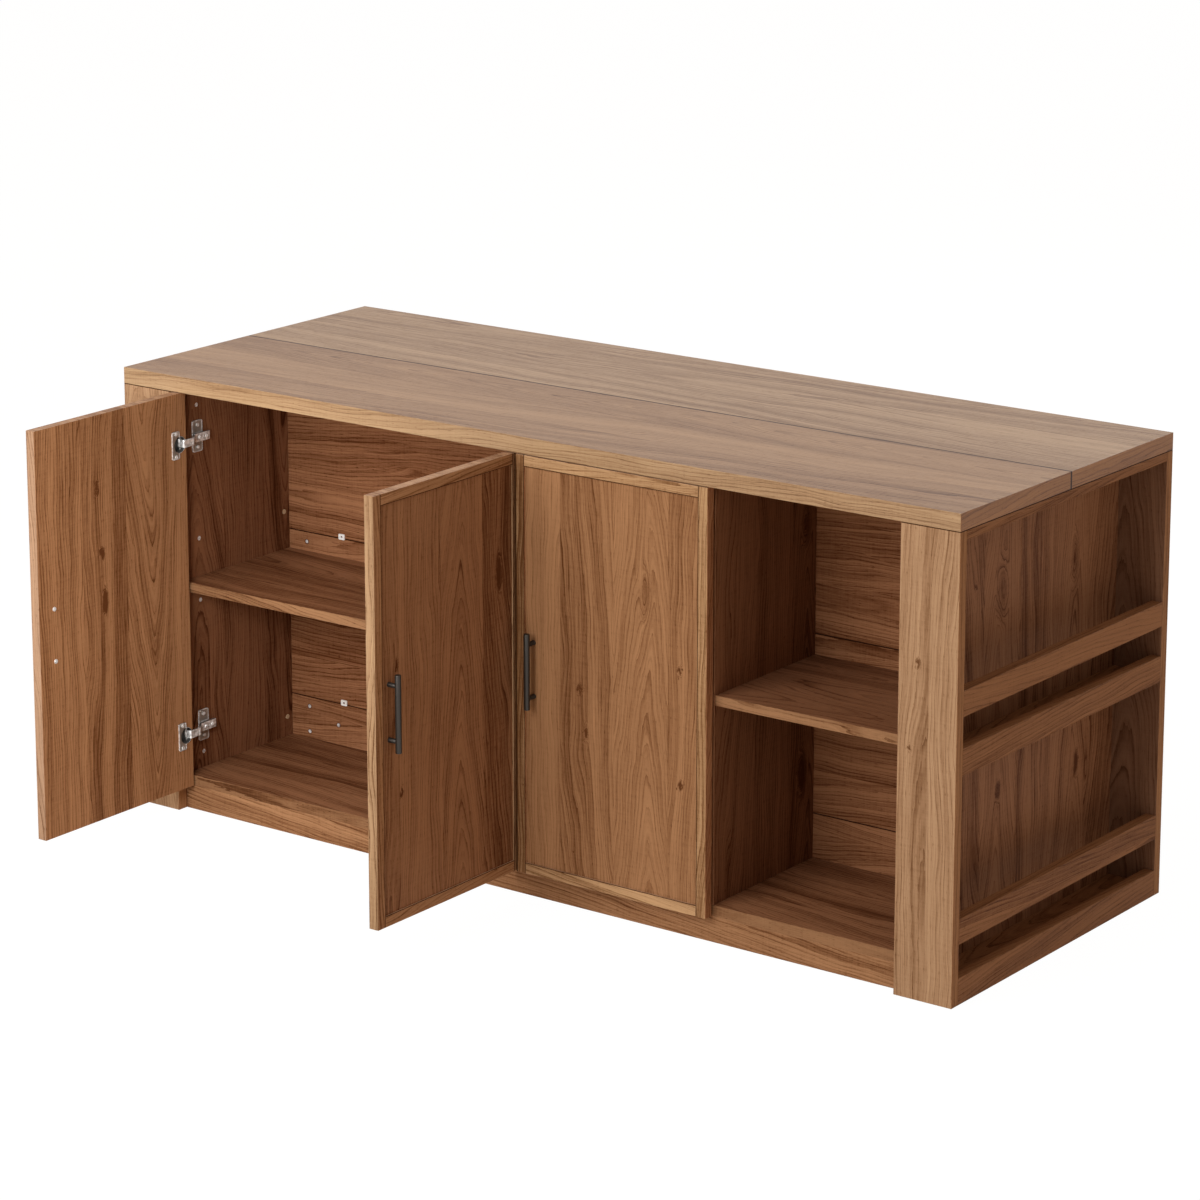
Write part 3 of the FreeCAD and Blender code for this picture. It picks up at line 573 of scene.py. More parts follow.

# %% [markdown]
# Chance alone would give wood, but not this wood. The doors carry the figure that catches the eye,
# so theirs is given one by one: a straight light strip, a wavy strip with two knots, and a strip with
# a pointed flame of rings and a long dark eye above it. The narrow frame boards are cut straight
# and stay calm. Thin lines of painted shadow are drawn in the gaps where boards meet, and painted
# shade lies round the heads of the back boards' screws and behind their clips.

# %% Special figure of the carcass
# A line of painted shadow under the worktop, where the legs and rack tops meet it.
UNDER_WORKTOP = ("z", 0.8812, 0.0009)
LEG_FIGURE = dict(joints=[UNDER_WORKTOP], contrast=1.10)
TOP_FIGURE = dict(gloss=0.25, contrast=1.15, calm=0.9)
RACK_TOP_FIGURE = dict(joints=[UNDER_WORKTOP], contrast=1.2, calm=0.5)
SPECIAL = {
    "worktop_front": dict(TOP_FIGURE, joints=[("y", 0.0105, 0.0024)], quiet={"y": 0.8}),
    "worktop_rear": dict(TOP_FIGURE, joints=[("y", 0.0115, 0.0024)]),
    "front_left_leg": LEG_FIGURE,
    "rear_left_leg": LEG_FIGURE,
    "rear_right_leg": LEG_FIGURE,
    "front_right_leg": dict(
        joints=[UNDER_WORKTOP], contrast=0.95, shift=0.070, calm=0.75,
        hearts={7: (0.070, 0.040, 0.02, 0.06), 8: (0.14, 0.03, 0.01, -0.05)},
        knots=[(0.908, 0.630, 0.008, 0.015, 0.8), (0.893, 0.470, 0.006, 0.012, 0.6)]),
    "left_rack_top_board": RACK_TOP_FIGURE,
    "right_rack_top_board": RACK_TOP_FIGURE,
    "right_end_panel_front": dict(
        shift=-0.0095, contrast=1.45, hearts={-1: (0.0, 0.012, 0.10, -0.10)},
        knots=[(-0.053, 0.691, 0.030, 0.090, 1.7), (-0.055, 0.305, 0.014, 0.030, 1.3)]),
    "right_end_panel_rear": dict(
        shift=0.111, contrast=1.50,
        hearts={1: (0.10, 0.02, 0.02, -0.04), 2: (0.010, 0.012, 0.10, 0.02)},
        knots=[(0.211, 0.689, 0.020, 0.080, 1.5), (0.231, 0.286, 0.014, 0.040, 1.3)]),
    "left_end_panel_front": dict(
        shift=-0.035, contrast=1.60,
        hearts={-3: (-0.020, 0.012, 0.10, 0.0), -2: (0.15, 0.03, 0.01, -0.02),
                -1: (0.010, 0.012, -0.10, 0.12)}),
    "right_divider": dict(
        shift=-0.035, contrast=1.60,
        hearts={-2: (0.15, 0.03, 0.01, -0.02), -1: (0.0, 0.012, 0.10, 0.04)},
        knots=[(-0.045, 0.745, 0.022, 0.060, 1.4), (-0.050, 0.250, 0.022, 0.070, 1.4)]),
}
print("chosen figure on", len(SPECIAL), "boards of the carcass")

# %% Painted shade at the seams, screws and clips of the back boards
BACK_FIGURE = dict(contrast=1.40, calm=0.6)
# Half width of the painted shadow in the seams between back boards.
BACK_SEAM = 0.0012
# Radii of the painted shade round the screw heads and behind the clips.
HOLE = 0.0056
CLIP_HOLE = 0.0036
CLIPS_X = (-0.723, -0.149)
SPECIAL["upper_back_board"] = dict(
    BACK_FIGURE, joints=[("z", 0.5222, BACK_SEAM)],
    hole_shades=[(x, 0.526, CLIP_HOLE) for x in CLIPS_X])
SPECIAL["lower_back_board"] = dict(
    BACK_FIGURE, joints=[("z", 0.1630, BACK_SEAM)],
    hole_shades=[(-0.819, 0.087, HOLE), (-0.819, 0.142, HOLE), (-0.740, 0.115, HOLE)])
SPECIAL["middle_back_board"] = dict(
    BACK_FIGURE, joints=[("z", 0.1632, BACK_SEAM), ("z", 0.5218, BACK_SEAM)],
    hole_shades=[(-0.819, 0.501, HOLE)] + [(x, 0.167, CLIP_HOLE) for x in CLIPS_X])
print("back boards have", len(CLIPS_X), "clips on each seam")

# %% Special figure of the doors
SPECIAL.update({
    "right_door_slab": dict(
        shift=0.0126, contrast=1.12,
        hearts={0: (0.16, 0.02, 0.01, -0.12), 1: (-0.075, 0.03, 0.05, 0.10),
                2: (0.018, 0.012, 0.115, -0.02), 3: (-0.14, 0.02, -0.02, 0.03)},
        knots=[(0.160, 0.445, 0.009, 0.016, 1.7), (0.172, 0.36, 0.010, 0.024, 1.4),
               (0.312, 0.655, 0.016, 0.075, 0.8), (0.392, 0.30, 0.008, 0.014, 1.0),
               (0.388, 0.52, 0.008, 0.016, 1.0)]),
    "middle_door_slab": dict(
        shift=0.085, contrast=1.45,
        hearts={-6: (0.05, 0.02, 0.02, 0.03), -5: (0.16, 0.02, 0.01, -0.08),
                -4: (0.000, 0.012, 0.115, -0.04), -3: (-0.075, 0.03, 0.05, 0.10)},
        knots=[(-0.715, 0.55, 0.006, 0.020, 1.1), (-0.705, 0.30, 0.006, 0.016, 1.1),
               (-0.412, 0.655, 0.014, 0.060, 0.9)]),
    "left_door_slab": dict(
        shift=0.030, contrast=1.40,
        hearts={-6: (0.15, 0.03, 0.01, -0.06), -5: (0.10, 0.02, 0.02, 0.10),
                -4: (0.005, 0.012, -0.115, 0.0), -3: (0.15, 0.02, 0.01, -0.08)},
        knots=[(-0.600, 0.60, 0.010, 0.018, 1.6), (-0.594, 0.50, 0.011, 0.040, 1.1),
               (-0.612, 0.73, 0.008, 0.020, 1.2)]),
})
print("chosen figure on the panels of three doors")

# %% Frames of the doors
FRAME_FIGURE = dict(contrast=1.30, calm=0.5)
FRAME_STRIP = 0.0210
# Half widths of painted shadow lines: at the inner borders of the frame strips, and at one edge of
# each door, as in its gap.
FRAME_LINE = 0.0008
DOOR_SEAM = 0.0032
# Painted shade: the right door's stile beside the open middle door gets a darker strip.
STILE_SHADE_BESIDE_OPEN_DOOR = {0: (0.15, 0.03, 0.01, 0.20)}
for door, edge_axis, *_ in DOOR_WOOD:
    low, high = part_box(door + "_slab")
    index = AXES.index(edge_axis)
    near, far = low[index], high[index]
    seam_with_next = near if door == "right_door" else far
    # Painted shadow lines along the frame strips and at the door's gap.
    sides = [(edge_axis, place, FRAME_LINE) for place in (near + FRAME_STRIP, far - FRAME_STRIP)]
    sides.append((edge_axis, seam_with_next, DOOR_SEAM))
    ends = [("z", place, FRAME_LINE) for place in (low[2] + FRAME_STRIP, high[2] - FRAME_STRIP)]
    SPECIAL[door + "_stiles"] = dict(FRAME_FIGURE, joints=sides,
                                     hearts=STILE_SHADE_BESIDE_OPEN_DOOR if door == "right_door" else None)
    SPECIAL[door + "_rails"] = dict(FRAME_FIGURE, joints=ends)
print("frame strips are", FRAME_STRIP, "m wide")

# %% Dress every board
PANEL_FIGURE = dict(contrast=1.50)
END_FIGURE = dict(contrast=1.55)
NARROW_BOARDS = ("leg", "stiles", "rails", "lips", "plinth", "top_board")
FIRST_SEED = 11.0
SEED_STEP = 17.0
for index, (node, (lie, tone, face_tones)) in enumerate(BOARDS.items()):
    narrow = any(word in node for word in NARROW_BOARDS)
    usual = FRAME_FIGURE if narrow else END_FIGURE if "end_panel" in node else PANEL_FIGURE
    figure = SPECIAL.get(node, usual)
    seed = FIRST_SEED + SEED_STEP * index
    dress(node, walnut("walnut_" + node, lie, seed, tone, face_tones, **figure))
print("walnut on", len(BOARDS), "nodes")

# %% [markdown]
# Metals first show themselves by their reflections. Nickel plate is bright and nearly smooth. In an
# empty studio a true mirror would be plain white, so its colour is painted in cloudy patches, painted
# reflections of the many small things that it would mirror. Zinc is duller, and the handles are
# powder-coated almost black. The cut edges above and below and the stamped fields round the screws
# are painted darker than the plated faces, as painted shade.

# %% A recipe for metals and plastics
CLOUD_SCALE = 150.0
CLOUDS_ROUGHEN = 0.10
SPECKS_ROUGHEN = 0.06
AVERAGE_ROUGHENING = 0.08
METAL_BUMP = (0.00005, 0.25)


def metal(name, tone, roughness, metallic, grain, play=0.12, edge=1.0):
    """A plated or coated metal. play is how far its tone wanders, and edge how sharply it changes.
    On the shiny metals these cloudy patches are painted reflections.
    """
    finish = Finish(name, base_color=(*tone, 1.0), metallic=metallic, roughness=roughness)
    place = finish.node("ShaderNodeTexCoord", {}, output="Object")
    cloud = finish.node("ShaderNodeTexNoise", {"Vector": place, "Scale": CLOUD_SCALE, "Detail": 2.0})
    speck = finish.node("ShaderNodeTexNoise", {"Vector": place, "Scale": grain, "Detail": 2.0})
    # Cloudy patches of tone: on the shiny metals they are painted reflections.
    patch = (cloud - 0.5) * edge + 0.5
    dark = [(1.0 - play) * part for part in tone]
    bright = [min((1.0 + play) * part, 1.0) for part in tone]
    finish.colour(finish.mix(patch, (*dark, 1.0), (*bright, 1.0)))
    even = roughness - AVERAGE_ROUGHENING
    finish.roughness(cloud * CLOUDS_ROUGHEN + speck * SPECKS_ROUGHEN + even)
    finish.bump(speck, *METAL_BUMP)
    return finish.material


print("a metal has clouds", 1.0 / CLOUD_SCALE, "m wide")

# %% Metals and plastics
# Painted reflection: nickel's bright and dark cloudy patches stand for what it would mirror.
nickel = metal("nickel_plate", (0.92, 0.90, 0.87), roughness=0.20, metallic=0.42, grain=1400.0,
               play=0.40, edge=5.0)
zinc = metal("zinc_plate", (0.84, 0.83, 0.82), roughness=0.28, metallic=0.50, grain=1800.0)
# Dark steels for painted shade: inside the cups, on the rims above and below, and in the stamped
# fields.
cup_shade_steel = metal("cup_shade_steel", (0.10, 0.095, 0.09), roughness=0.45, metallic=0.6, grain=1500.0)
edge_shade_steel = metal("edge_shade_steel", (0.17, 0.155, 0.145), roughness=0.40, metallic=0.6, grain=1500.0)
field_shade_steel = metal("stamped_field_shade", (0.37, 0.33, 0.285), roughness=0.35, metallic=0.5, grain=1500.0)
handle_black = metal("gunmetal_coat", (0.050, 0.043, 0.037), roughness=0.38, metallic=0.75,
                     grain=2600.0)
cap_brown = metal("brown_plastic", (0.56, 0.40, 0.24), roughness=0.38, metallic=0.0, grain=1200.0)
clip_white = metal("white_plastic", (0.82, 0.81, 0.78), roughness=0.30, metallic=0.0, grain=900.0)
beech = metal("plain_beech", (0.62, 0.47, 0.30), roughness=0.60, metallic=0.0, grain=700.0)
for node in ("hinge_plates", "hinge_arms", "hinge_pins"):
    dress(node, nickel)
for node in ("hinge_screws", "cam_locks", "cam_bolts", "back_board_screws"):
    dress(node, zinc)
dress("cover_caps", cap_brown)
dress("seam_clips", clip_white)
dress("dowels", beech)
for door, *_ in DOOR_WOOD:
    dress(door + "_handle", handle_black)
    dress(door + "_handle_screws", zinc)
    dress(door + "_hinge_cups", nickel)
    dress(door + "_cup_screws", zinc)
print("metals and plastics ready")

# %% [markdown]
# The fittings are small, but they are the only bright and dark points on the piece. The solids
# that came with the model are plainer there. They are loose triangles, which don't bevel well, so
# the fittings are shaped again by hand: a simple form is added, its edges and faces are picked by
# their place, and they are extruded, inset and bevelled. Short helpers keep that readable.

# %% Helpers that choose
MM = 0.001
TOUCHING = 0.01
NEARLY = 0.1
FACING = 0.9


def only(*pieces):
    """Select these objects and nothing else, with the first one active."""
    bpy.ops.object.select_all(action="DESELECT")
    for piece in pieces:
        piece.select_set(True)
    if pieces:
        bpy.context.view_layer.objects.active = pieces[0]


def choose(piece, kind, wanted):
    """Open a piece in edit mode with the faces, edges or corners that pass a test selected."""
    only(piece)
    bpy.ops.object.mode_set(mode="EDIT")
    bpy.ops.mesh.select_mode(type=kind)
    bpy.ops.mesh.select_all(action="DESELECT")
    bpy.ops.object.mode_set(mode="OBJECT")
    mesh = piece.data
    corner = [vertex.co / MM for vertex in mesh.vertices]
    if kind == "FACE":
        for face in mesh.polygons:
            face.select = wanted(face.center / MM, face.normal)
    elif kind == "EDGE":
        for edge in mesh.edges:
            first, second = (corner[index] for index in edge.vertices)
            edge.select = wanted((first + second) / 2.0, second - first)
    else:
        for vertex, place in zip(mesh.vertices, corner):
            vertex.select = wanted(place)
    bpy.ops.object.mode_set(mode="EDIT")


def leave():
    """Go back to object mode."""
    bpy.ops.object.mode_set(mode="OBJECT")


print("faces and edges are chosen by their place, in millimetres")

# %% Helpers that start a form
def settle():
    """Put the place, turn and scale of the selected object into its mesh."""
    bpy.ops.object.transform_apply(location=True, rotation=True, scale=True)
    return bpy.context.object


def block(low, high):
    """A block between two corners, in millimetres."""
    middle = [(a + b) / 2.0 * MM for a, b in zip(low, high)]
    bpy.ops.object.select_all(action="DESELECT")
    bpy.ops.mesh.primitive_cube_add(size=1.0, location=middle)
    bpy.context.object.scale = [(b - a) * MM for a, b in zip(low, high)]
    return settle()


def round_bar(radius, start, end, sides=48):
    """A round bar from one point to another, in millimetres."""
    run = Vector(end) - Vector(start)
    bpy.ops.object.select_all(action="DESELECT")
    bpy.ops.mesh.primitive_cylinder_add(vertices=sides, radius=radius * MM, depth=run.length * MM)
    bar = bpy.context.object
    bar.location = (Vector(start) + Vector(end)) / 2.0 * MM
    bar.rotation_euler = run.to_track_quat("Z", "Y").to_euler()
    return settle()


print("forms start from blocks and bars")

# %% Helpers that finish a form
SHARP_ANGLE = 35.0
SMOOTH_ANGLE = 32.0


def improve(piece, kind, **settings):
    """Add a modifier to a piece and apply it."""
    only(piece)
    modifier = piece.modifiers.new("shape", kind)
    for setting, value in settings.items():
        setattr(modifier, setting, value)
    bpy.ops.object.modifier_apply(modifier="shape")


def soften(piece, width):
    """Round the sharp edges of a piece, and shade it smooth between them."""
    improve(piece, "BEVEL", width=width * MM, segments=2, limit_method="ANGLE",
            angle_limit=math.radians(SHARP_ANGLE))
    only(piece)
    bpy.ops.object.shade_smooth_by_angle(angle=math.radians(SMOOTH_ANGLE))


def extrude(x=0.0, y=0.0):
    """Extrude what is selected, in millimetres."""
    move = (x * MM, y * MM, 0.0)
    bpy.ops.mesh.extrude_region_move(TRANSFORM_OT_translate={"value": move})


def paint_shade(piece, material, wanted):
    """Give the faces that pass a test a second, darker material, as painted shade."""
    piece.data.materials.append(material)
    slot = len(piece.data.materials) - 1
    for face in piece.data.polygons:
        if wanted(face.center / MM, face.normal):
            face.material_index = slot


print("edges sharper than", SHARP_ANGLE, "degrees get rounded")

# %% Helpers that place a form
def gather(*pieces):
    """Make one object of several."""
    only(*pieces)
    bpy.ops.object.join()
    return bpy.context.object


def set_in_place(model, spots, name, body, node):
    """Copy a model to every spot, as one piece that stands for a node. A spot is a matrix."""
    copies = []
    for spot in spots:
        piece = model.copy()
        piece.data = model.data.copy()
        bpy.context.scene.collection.objects.link(piece)
        piece.matrix_world = spot
        only(piece)
        copies.append(settle())
    piece = gather(*copies)
    piece.name = name
    choose(piece, "FACE", lambda place, normal: True)
    bpy.ops.mesh.normals_make_consistent(inside=False)
    leave()
    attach(piece, body)
    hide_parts(node)
    print(name, "has", len(piece.data.polygons), "faces")
    return piece


print("fittings are modelled once and copied to their places")

# %% [markdown]
# Every fitting could be shaped where it stands, but the same hinge is needed six times. So each is
# shaped once in its own small frame. For a hinge the origin is the middle of its pin, X goes from
# the upright to the free edge of the closed door, Y goes into the cupboard and Z goes up. A
# handle's origin is the middle of its bar. These matrices carry the frames to their places.

# %% Where the fittings go
PIN_Y = -359.0
HINGE_HEIGHTS = (165.0, 775.0)
LEFT_PIN_X = -853.0
MIDDLE_PIN_X = -5.6
RIGHT_PIN_X = 441.9
WALL_OF_PAIR = -14.0
WALL_OF_SINGLE = 10.5
HANDLE_HEIGHT = 464.0


def hinge_spot(pin_x, inward, height, opening=0.0):
    """The frame of one hinge. opening turns it with a door that stands open, in degrees."""
    at_pin = Matrix.Translation(Vector((pin_x, PIN_Y, height)) * MM)
    turn = Matrix.Rotation(math.radians(-inward * opening), 4, "Z")
    return at_pin @ turn @ Matrix.Diagonal((inward, 1.0, 1.0, 1.0))


def handle_spot(x, y, turn):
    """The frame of one handle: where its bar stands and which way it is turned, in degrees."""
    at_bar = Matrix.Translation(Vector((x, y, HANDLE_HEIGHT)) * MM)
    return at_bar @ Matrix.Rotation(math.radians(turn), 4, "Z")


PAIR_SPOTS = [hinge_spot(LEFT_PIN_X, 1.0, height) for height in HINGE_HEIGHTS]
PAIR_SPOTS += [hinge_spot(MIDDLE_PIN_X, -1.0, height) for height in HINGE_HEIGHTS]
SINGLE_SPOTS = [hinge_spot(RIGHT_PIN_X, -1.0, height) for height in HINGE_HEIGHTS]
print("spots for", len(PAIR_SPOTS) + len(SINGLE_SPOTS), "hinges")

# %% [markdown]
# The handle is a round bar on two posts. The bar has a small chamfer at each end that catches the
# light, and each post widens into a thin collar where it meets the door. A curve with a round
# section would be simpler, but has neither chamfer nor collar. So it is turned from bars: their end
# rims are picked and bevelled, and the foot of a post is extruded twice for its collar.

# %% Bar handle
BAR_RADIUS = 6.0
BAR_HALF = 75.0
BAR_CHAMFER = 1.3
POST_RADIUS = 4.7
POST_SPREAD = 53.0
POST_START = 2.0
STANDOFF = 22.5
COLLAR_HEIGHT = 1.4
COLLAR_GROWTH = 1.06

bar = round_bar(BAR_RADIUS, (0.0, 0.0, -BAR_HALF), (0.0, 0.0, BAR_HALF), sides=64)
choose(bar, "EDGE", lambda place, run: abs(abs(place.z) - BAR_HALF) < TOUCHING)
bpy.ops.mesh.bevel(offset=BAR_CHAMFER * MM, segments=2, affect="EDGES")
leave()
handle_parts = [bar]
for height in (-POST_SPREAD, POST_SPREAD):
    collar = Vector((0.0, STANDOFF - COLLAR_HEIGHT, height))
    post = round_bar(POST_RADIUS, (0.0, POST_START, height), collar)
    choose(post, "FACE", lambda place, normal: normal.y > FACING)
    extrude()
    growth = (COLLAR_GROWTH, 1.0, COLLAR_GROWTH)
    bpy.ops.transform.resize(value=growth, center_override=collar * MM)
    extrude(y=COLLAR_HEIGHT)
    leave()
    handle_parts.append(post)
handle = gather(*handle_parts)
soften(handle, 0.15)
dress_piece(handle, handle_black)
HANDLES = (
    ("left_door", handle_spot(-882.5, -739.7, -90.0)),
    ("middle_door", handle_spot(23.9, -739.7, 90.0)),
    ("right_door", handle_spot(49.9, -388.5, 0.0)),
)
for door, spot in HANDLES:
    set_in_place(handle, [spot], door + "_bar_handle", door, door + "_handle")
bpy.data.objects.remove(handle)

# %% [markdown]
# A concealed hinge has a cup in the door, an arm, and a plate on the upright. The arm is a strip of
# steel bent in a press. Here a flat strip is extruded point by point along its side view, its bends
# are bevelled round, its rear part gets folded side walls, and Solidify gives it its thickness.
# A slot between the two screws lets the arm slide when the door is adjusted, and a shallow rib is
# stamped in the straight face.

# %% The strip of an arm
ARM_HALF_WIDTH = 8.0
ARM_REACH = 14.5
ARM_DIP = -1.0
ARM_LEVEL = 13.6
CRANK_START = 29.0
CRANK_END = 45.0
SLOT_START = 67.5
SLOT_END = 76.5
ARM_END = 92.0


def arm_route(wall):
    """The side view of an arm, for an upright whose face is at this X."""
    level = wall + ARM_LEVEL
    return [(0.0, 0.0), (ARM_REACH, ARM_DIP), (ARM_REACH, CRANK_START), (level, CRANK_END),
            (level, SLOT_START), (level, SLOT_END), (level, ARM_END)]


def at(place, x, y):
    """Whether a place lies at this point of the side view."""
    return abs(place.x - x) + abs(place.y - y) < 2.0 * TOUCHING


def flat_strip(route):
    """A strip of no thickness that follows the side view."""
    bpy.ops.object.select_all(action="DESELECT")
    upright = (0.0, math.pi / 2.0, 0.0)
    bpy.ops.mesh.primitive_plane_add(size=2.0 * ARM_HALF_WIDTH * MM, rotation=upright)
    strip = settle()
    for rim, (x, y) in ((-ARM_HALF_WIDTH, route[0]), (ARM_HALF_WIDTH, route[1])):
        choose(strip, "VERT", lambda place: at(place, 0.0, rim))
        bpy.ops.transform.translate(value=(x * MM, (y - rim) * MM, 0.0))
        leave()
    for (x, y), (next_x, next_y) in zip(route[1:], route[2:]):
        choose(strip, "EDGE", lambda place, run: at(place, x, y) and at(run, 0.0, 0.0))
        extrude(next_x - x, next_y - y)
        leave()
    return strip


print("arms are", 2.0 * ARM_HALF_WIDTH, "mm wide")

# %% Hinge arms
ARM_THICKNESS = 1.6
SLOT_MARGIN = 3.6
RIB_MARGIN = 3.0
RIB_WALL = 0.7
RIB_DEPTH = 0.5
FOLD_DEPTH = 5.0
BEND_WIDTH = 2.2
EYE_RADIUS = 2.8
EYE_HALF = 8.2
ARM_RIM_FACING = 0.8


def hinge_arm(wall):
    """The arm of one hinge, with its slot, rib, folded sides, bends and eye."""
    route = arm_route(wall)
    arm = flat_strip(route)
    choose(arm, "FACE", lambda place, normal: SLOT_START < place.y < SLOT_END)
    bpy.ops.mesh.inset(thickness=SLOT_MARGIN * MM)
    bpy.ops.mesh.delete(type="FACE")
    leave()
    choose(arm, "FACE", lambda place, normal: abs(place.x - ARM_REACH) < NEARLY
           and 0.0 < place.y < CRANK_START)
    bpy.ops.mesh.inset(thickness=RIB_MARGIN * MM)
    bpy.ops.mesh.inset(thickness=RIB_WALL * MM, depth=-RIB_DEPTH * MM)
    leave()
    choose(arm, "EDGE", lambda place, run: abs(abs(place.z) - ARM_HALF_WIDTH) < TOUCHING
           and place.y > CRANK_END + NEARLY)
    extrude(x=-FOLD_DEPTH)
    leave()
    choose(arm, "EDGE", lambda place, run: abs(run.z) > 2.0 * ARM_HALF_WIDTH - NEARLY
           and any(at(place, x, y) for x, y in route[1:4]))
    bpy.ops.mesh.bevel(offset=BEND_WIDTH * MM, segments=4, affect="EDGES")
    leave()
    improve(arm, "SOLIDIFY", thickness=ARM_THICKNESS * MM, offset=0.0, use_even_offset=True)
    eye = round_bar(EYE_RADIUS, (0.0, 0.0, -EYE_HALF), (0.0, 0.0, EYE_HALF), sides=32)
    arm = gather(arm, eye)
    soften(arm, 0.25)
    dress_piece(arm, nickel)
    # Painted shade on the upper and lower rims of the arm.
    paint_shade(arm, edge_shade_steel, lambda place, normal: abs(normal.z) > ARM_RIM_FACING
           and abs(place.z) < ARM_HALF_WIDTH + 1.0)
    return arm


arms = (hinge_arm(WALL_OF_PAIR), hinge_arm(WALL_OF_SINGLE))
print("arms have", [len(arm.data.polygons) for arm in arms], "faces")

# %% [markdown]
# The plate is screwed to the upright. Its wing is a rounded rectangle with two stamped fields for
# the screws, and a narrow saddle rises from its middle for the arm to lie on. It starts as a block:
# the corners are bevelled, two cuts mark the saddle, and the saddle is extruded up and back.

# %% Hinge plates
WING = ((0.0, 53.0, -33.0), (3.0, 83.0, 33.0))
WING_CORNER = 5.0
SADDLE_HALF_WIDTH = 5.5
SADDLE_HEIGHT = 12.7
SADDLE_TAIL = 6.0
FIELD_MARGIN = 2.2
FIELD_WALL = 0.5
STAMP_DEPTH = 0.5
RIM_FACING = 0.65


def hinge_plate(wall):
    """The plate of one hinge, on an upright whose face is at this X."""
    (low_x, low_y, low_z), (high_x, high_y, high_z) = WING
    plate = block((wall + low_x, low_y, low_z), (wall + high_x, high_y, high_z))
    choose(plate, "EDGE", lambda place, run: abs(run.x) > high_x - NEARLY)
    bpy.ops.mesh.bevel(offset=WING_CORNER * MM, segments=6, affect="EDGES")
    leave()
    for height in (-SADDLE_HALF_WIDTH, SADDLE_HALF_WIDTH):
        choose(plate, "FACE", lambda place, normal: True)
        bpy.ops.mesh.bisect(plane_co=(0.0, 0.0, height * MM), plane_no=(0.0, 0.0, 1.0))
        leave()
    choose(plate, "FACE", lambda place, normal: normal.x > FACING
           and abs(place.z) > SADDLE_HALF_WIDTH)
    bpy.ops.mesh.inset(thickness=FIELD_MARGIN * MM)
    bpy.ops.mesh.inset(thickness=FIELD_WALL * MM, depth=-STAMP_DEPTH * MM)
    leave()
    top = wall + high_x
    choose(plate, "FACE", lambda place, normal: normal.x > FACING and abs(place.z) < NEARLY
           and place.x > top - TOUCHING)
    extrude(x=SADDLE_HEIGHT - high_x)
    leave()
    choose(plate, "FACE", lambda place, normal: normal.y > FACING and place.x > top + 1.0)
    extrude(y=SADDLE_TAIL)
    leave()
    soften(plate, 0.4)
    dress_piece(plate, nickel)
    # Painted shade on the rims above and below and in the stamped fields.
    paint_shade(plate, edge_shade_steel, lambda place, normal: abs(normal.z) > RIM_FACING)
    field = top - STAMP_DEPTH
    paint_shade(plate, field_shade_steel, lambda place, normal: normal.x > FACING
           and abs(place.x - field) < NEARLY)
    return plate


plates = (hinge_plate(WALL_OF_PAIR), hinge_plate(WALL_OF_SINGLE))
print("plates are", WING[1][2] - WING[0][2], "mm tall")

# %% Arms and plates in their places
def place_all_round(models, name, node):
    """Set the model for the pair and the one for the single door in place, as one piece."""
    both = []
    for model, spots in zip(models, (PAIR_SPOTS, SINGLE_SPOTS)):
        both.append(set_in_place(model, spots, name, "carcass", node))
        bpy.data.objects.remove(model)
    piece = gather(*both)
    piece.name = name


place_all_round(arms, "pressed_hinge_arms", "hinge_arms")
place_all_round(plates, "stamped_hinge_plates", "hinge_plates")

# %% [markdown]
# The cup sits in a round pocket of the door, and its flange is screwed on with two screws. A spun
# outline would give a round bowl but not the long flange. So the flange and the bowl are joined
# with a boolean, the bowl is hollowed with another, and the inside is painted dark as painted shade,
# for the folded links of a real hinge, which are not modelled here, leave it in shade.

# %% Hinge cups
CUP_X = 11.5
CUP_RADIUS = 17.5
CUP_HOLLOW = 16.6
CUP_FLOOR = -4.0
FLANGE_Y = 11.0
FLANGE_THICKNESS = 2.4
FLANGE_X = (12.0, 34.0)
FLANGE_HALF = 29.0
FLANGE_CORNER = 4.0
FLANGE_MARGIN = 1.6
FLANGE_WALL = 0.6
BOWL_RIM = 0.9
BOWL_BOTTOM = 0.8
PAST_FLANGE = 5.0
LUG = ((-3.5, -3.6, 8.8), (3.5, 3.5, 16.0))

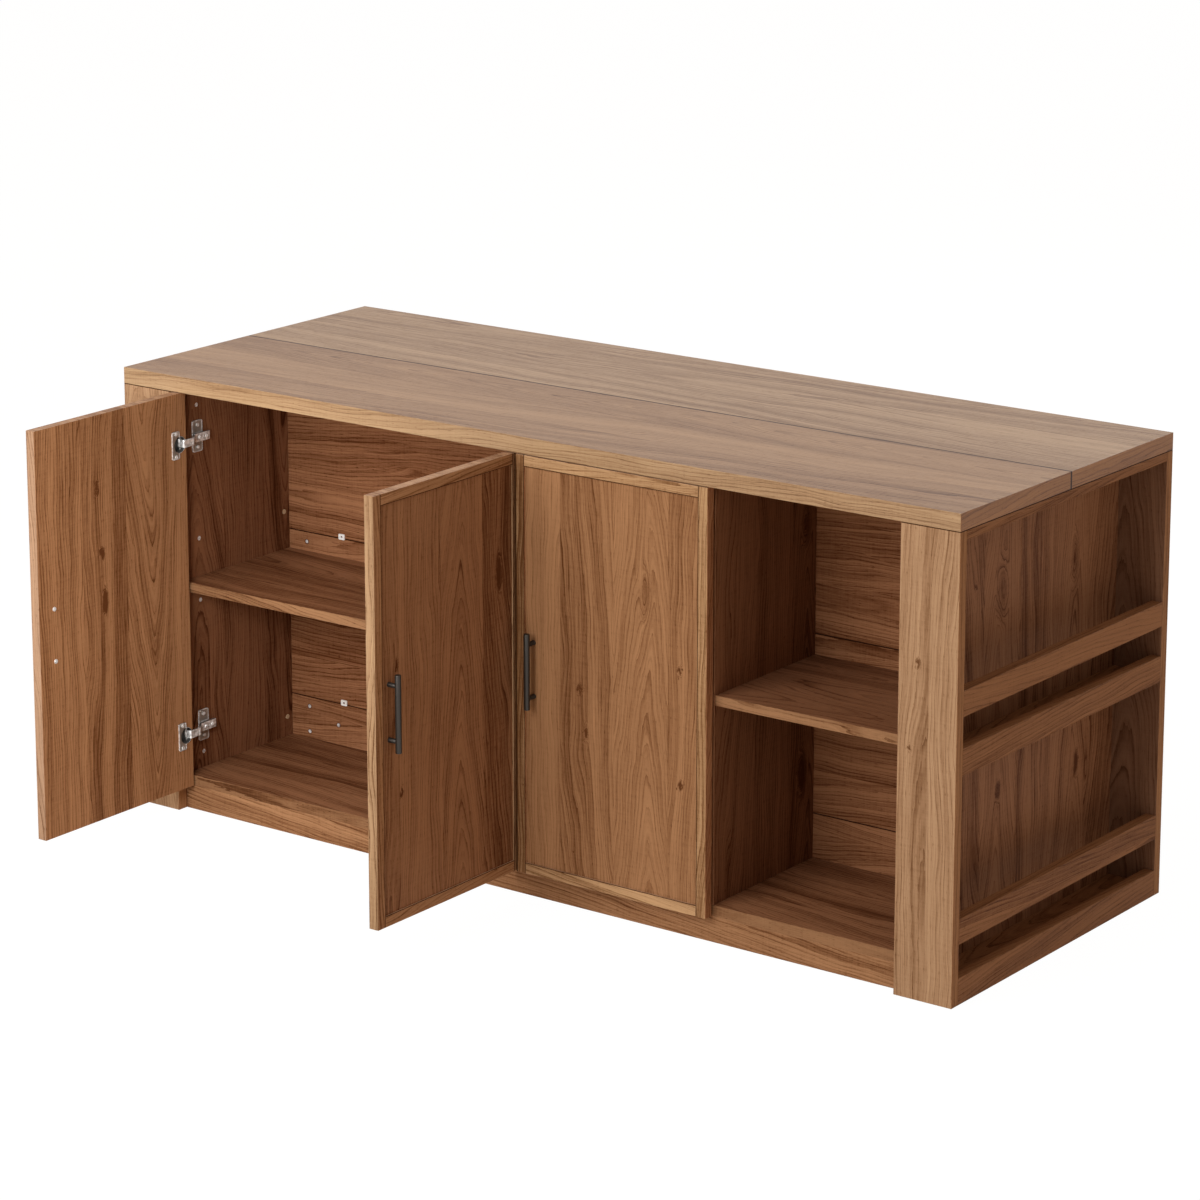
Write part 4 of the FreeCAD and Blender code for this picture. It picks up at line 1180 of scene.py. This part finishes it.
flange_top = FLANGE_Y + FLANGE_THICKNESS
cup = block((FLANGE_X[0], FLANGE_Y, -FLANGE_HALF), (FLANGE_X[1], flange_top, FLANGE_HALF))
choose(cup, "EDGE", lambda place, run: abs(run.y) > FLANGE_THICKNESS - NEARLY)
bpy.ops.mesh.bevel(offset=FLANGE_CORNER * MM, segments=6, affect="EDGES")
leave()
choose(cup, "FACE", lambda place, normal: normal.y > FACING)
bpy.ops.mesh.inset(thickness=FLANGE_MARGIN * MM)
bpy.ops.mesh.inset(thickness=FLANGE_WALL * MM, depth=-STAMP_DEPTH * MM)
leave()
bowl_cuts = (("UNION", CUP_RADIUS, CUP_FLOOR, flange_top - BOWL_RIM),
             ("DIFFERENCE", CUP_HOLLOW, CUP_FLOOR + BOWL_BOTTOM, flange_top + PAST_FLANGE))
for operation, radius, low_y, high_y in bowl_cuts:
    round_form = round_bar(radius, (CUP_X, low_y, 0.0), (CUP_X, high_y, 0.0), sides=72)
    improve(cup, "BOOLEAN", operation=operation, object=round_form, solver="EXACT")
    bpy.data.objects.remove(round_form)
(lug_x, lug_y, lug_low), (lug_end_x, lug_end_y, lug_high) = LUG
upper_lug = block((lug_x, lug_y, lug_low), (lug_end_x, lug_end_y, lug_high))
lower_lug = block((lug_x, lug_y, -lug_high), (lug_end_x, lug_end_y, -lug_low))
cup = gather(cup, upper_lug, lower_lug)
soften(cup, 0.3)
dress_piece(cup, nickel)
# Painted shade on the flange's rims above and below, in its stamped field and inside the bowl.
paint_shade(cup, edge_shade_steel, lambda place, normal: abs(normal.z) > RIM_FACING
       and place.x > FLANGE_X[0])
field = flange_top - STAMP_DEPTH
paint_shade(cup, field_shade_steel, lambda place, normal: normal.y > FACING
       and abs(place.y - field) < NEARLY)
paint_shade(cup, cup_shade_steel, lambda place, normal: place.y < FLANGE_Y + 0.5
       and math.hypot(place.x - CUP_X, place.z) < CUP_HOLLOW + NEARLY)
DOOR_HINGES = (
    ("left_door", LEFT_PIN_X, 1.0, 90.0),
    ("middle_door", MIDDLE_PIN_X, -1.0, 90.0),
    ("right_door", RIGHT_PIN_X, -1.0, 0.0),
)
for door, pin_x, inward, opening in DOOR_HINGES:
    spots = [hinge_spot(pin_x, inward, height, opening) for height in HINGE_HEIGHTS]
    set_in_place(cup, spots, door + "_flanged_cups", door, door + "_hinge_cups")
bpy.data.objects.remove(cup)
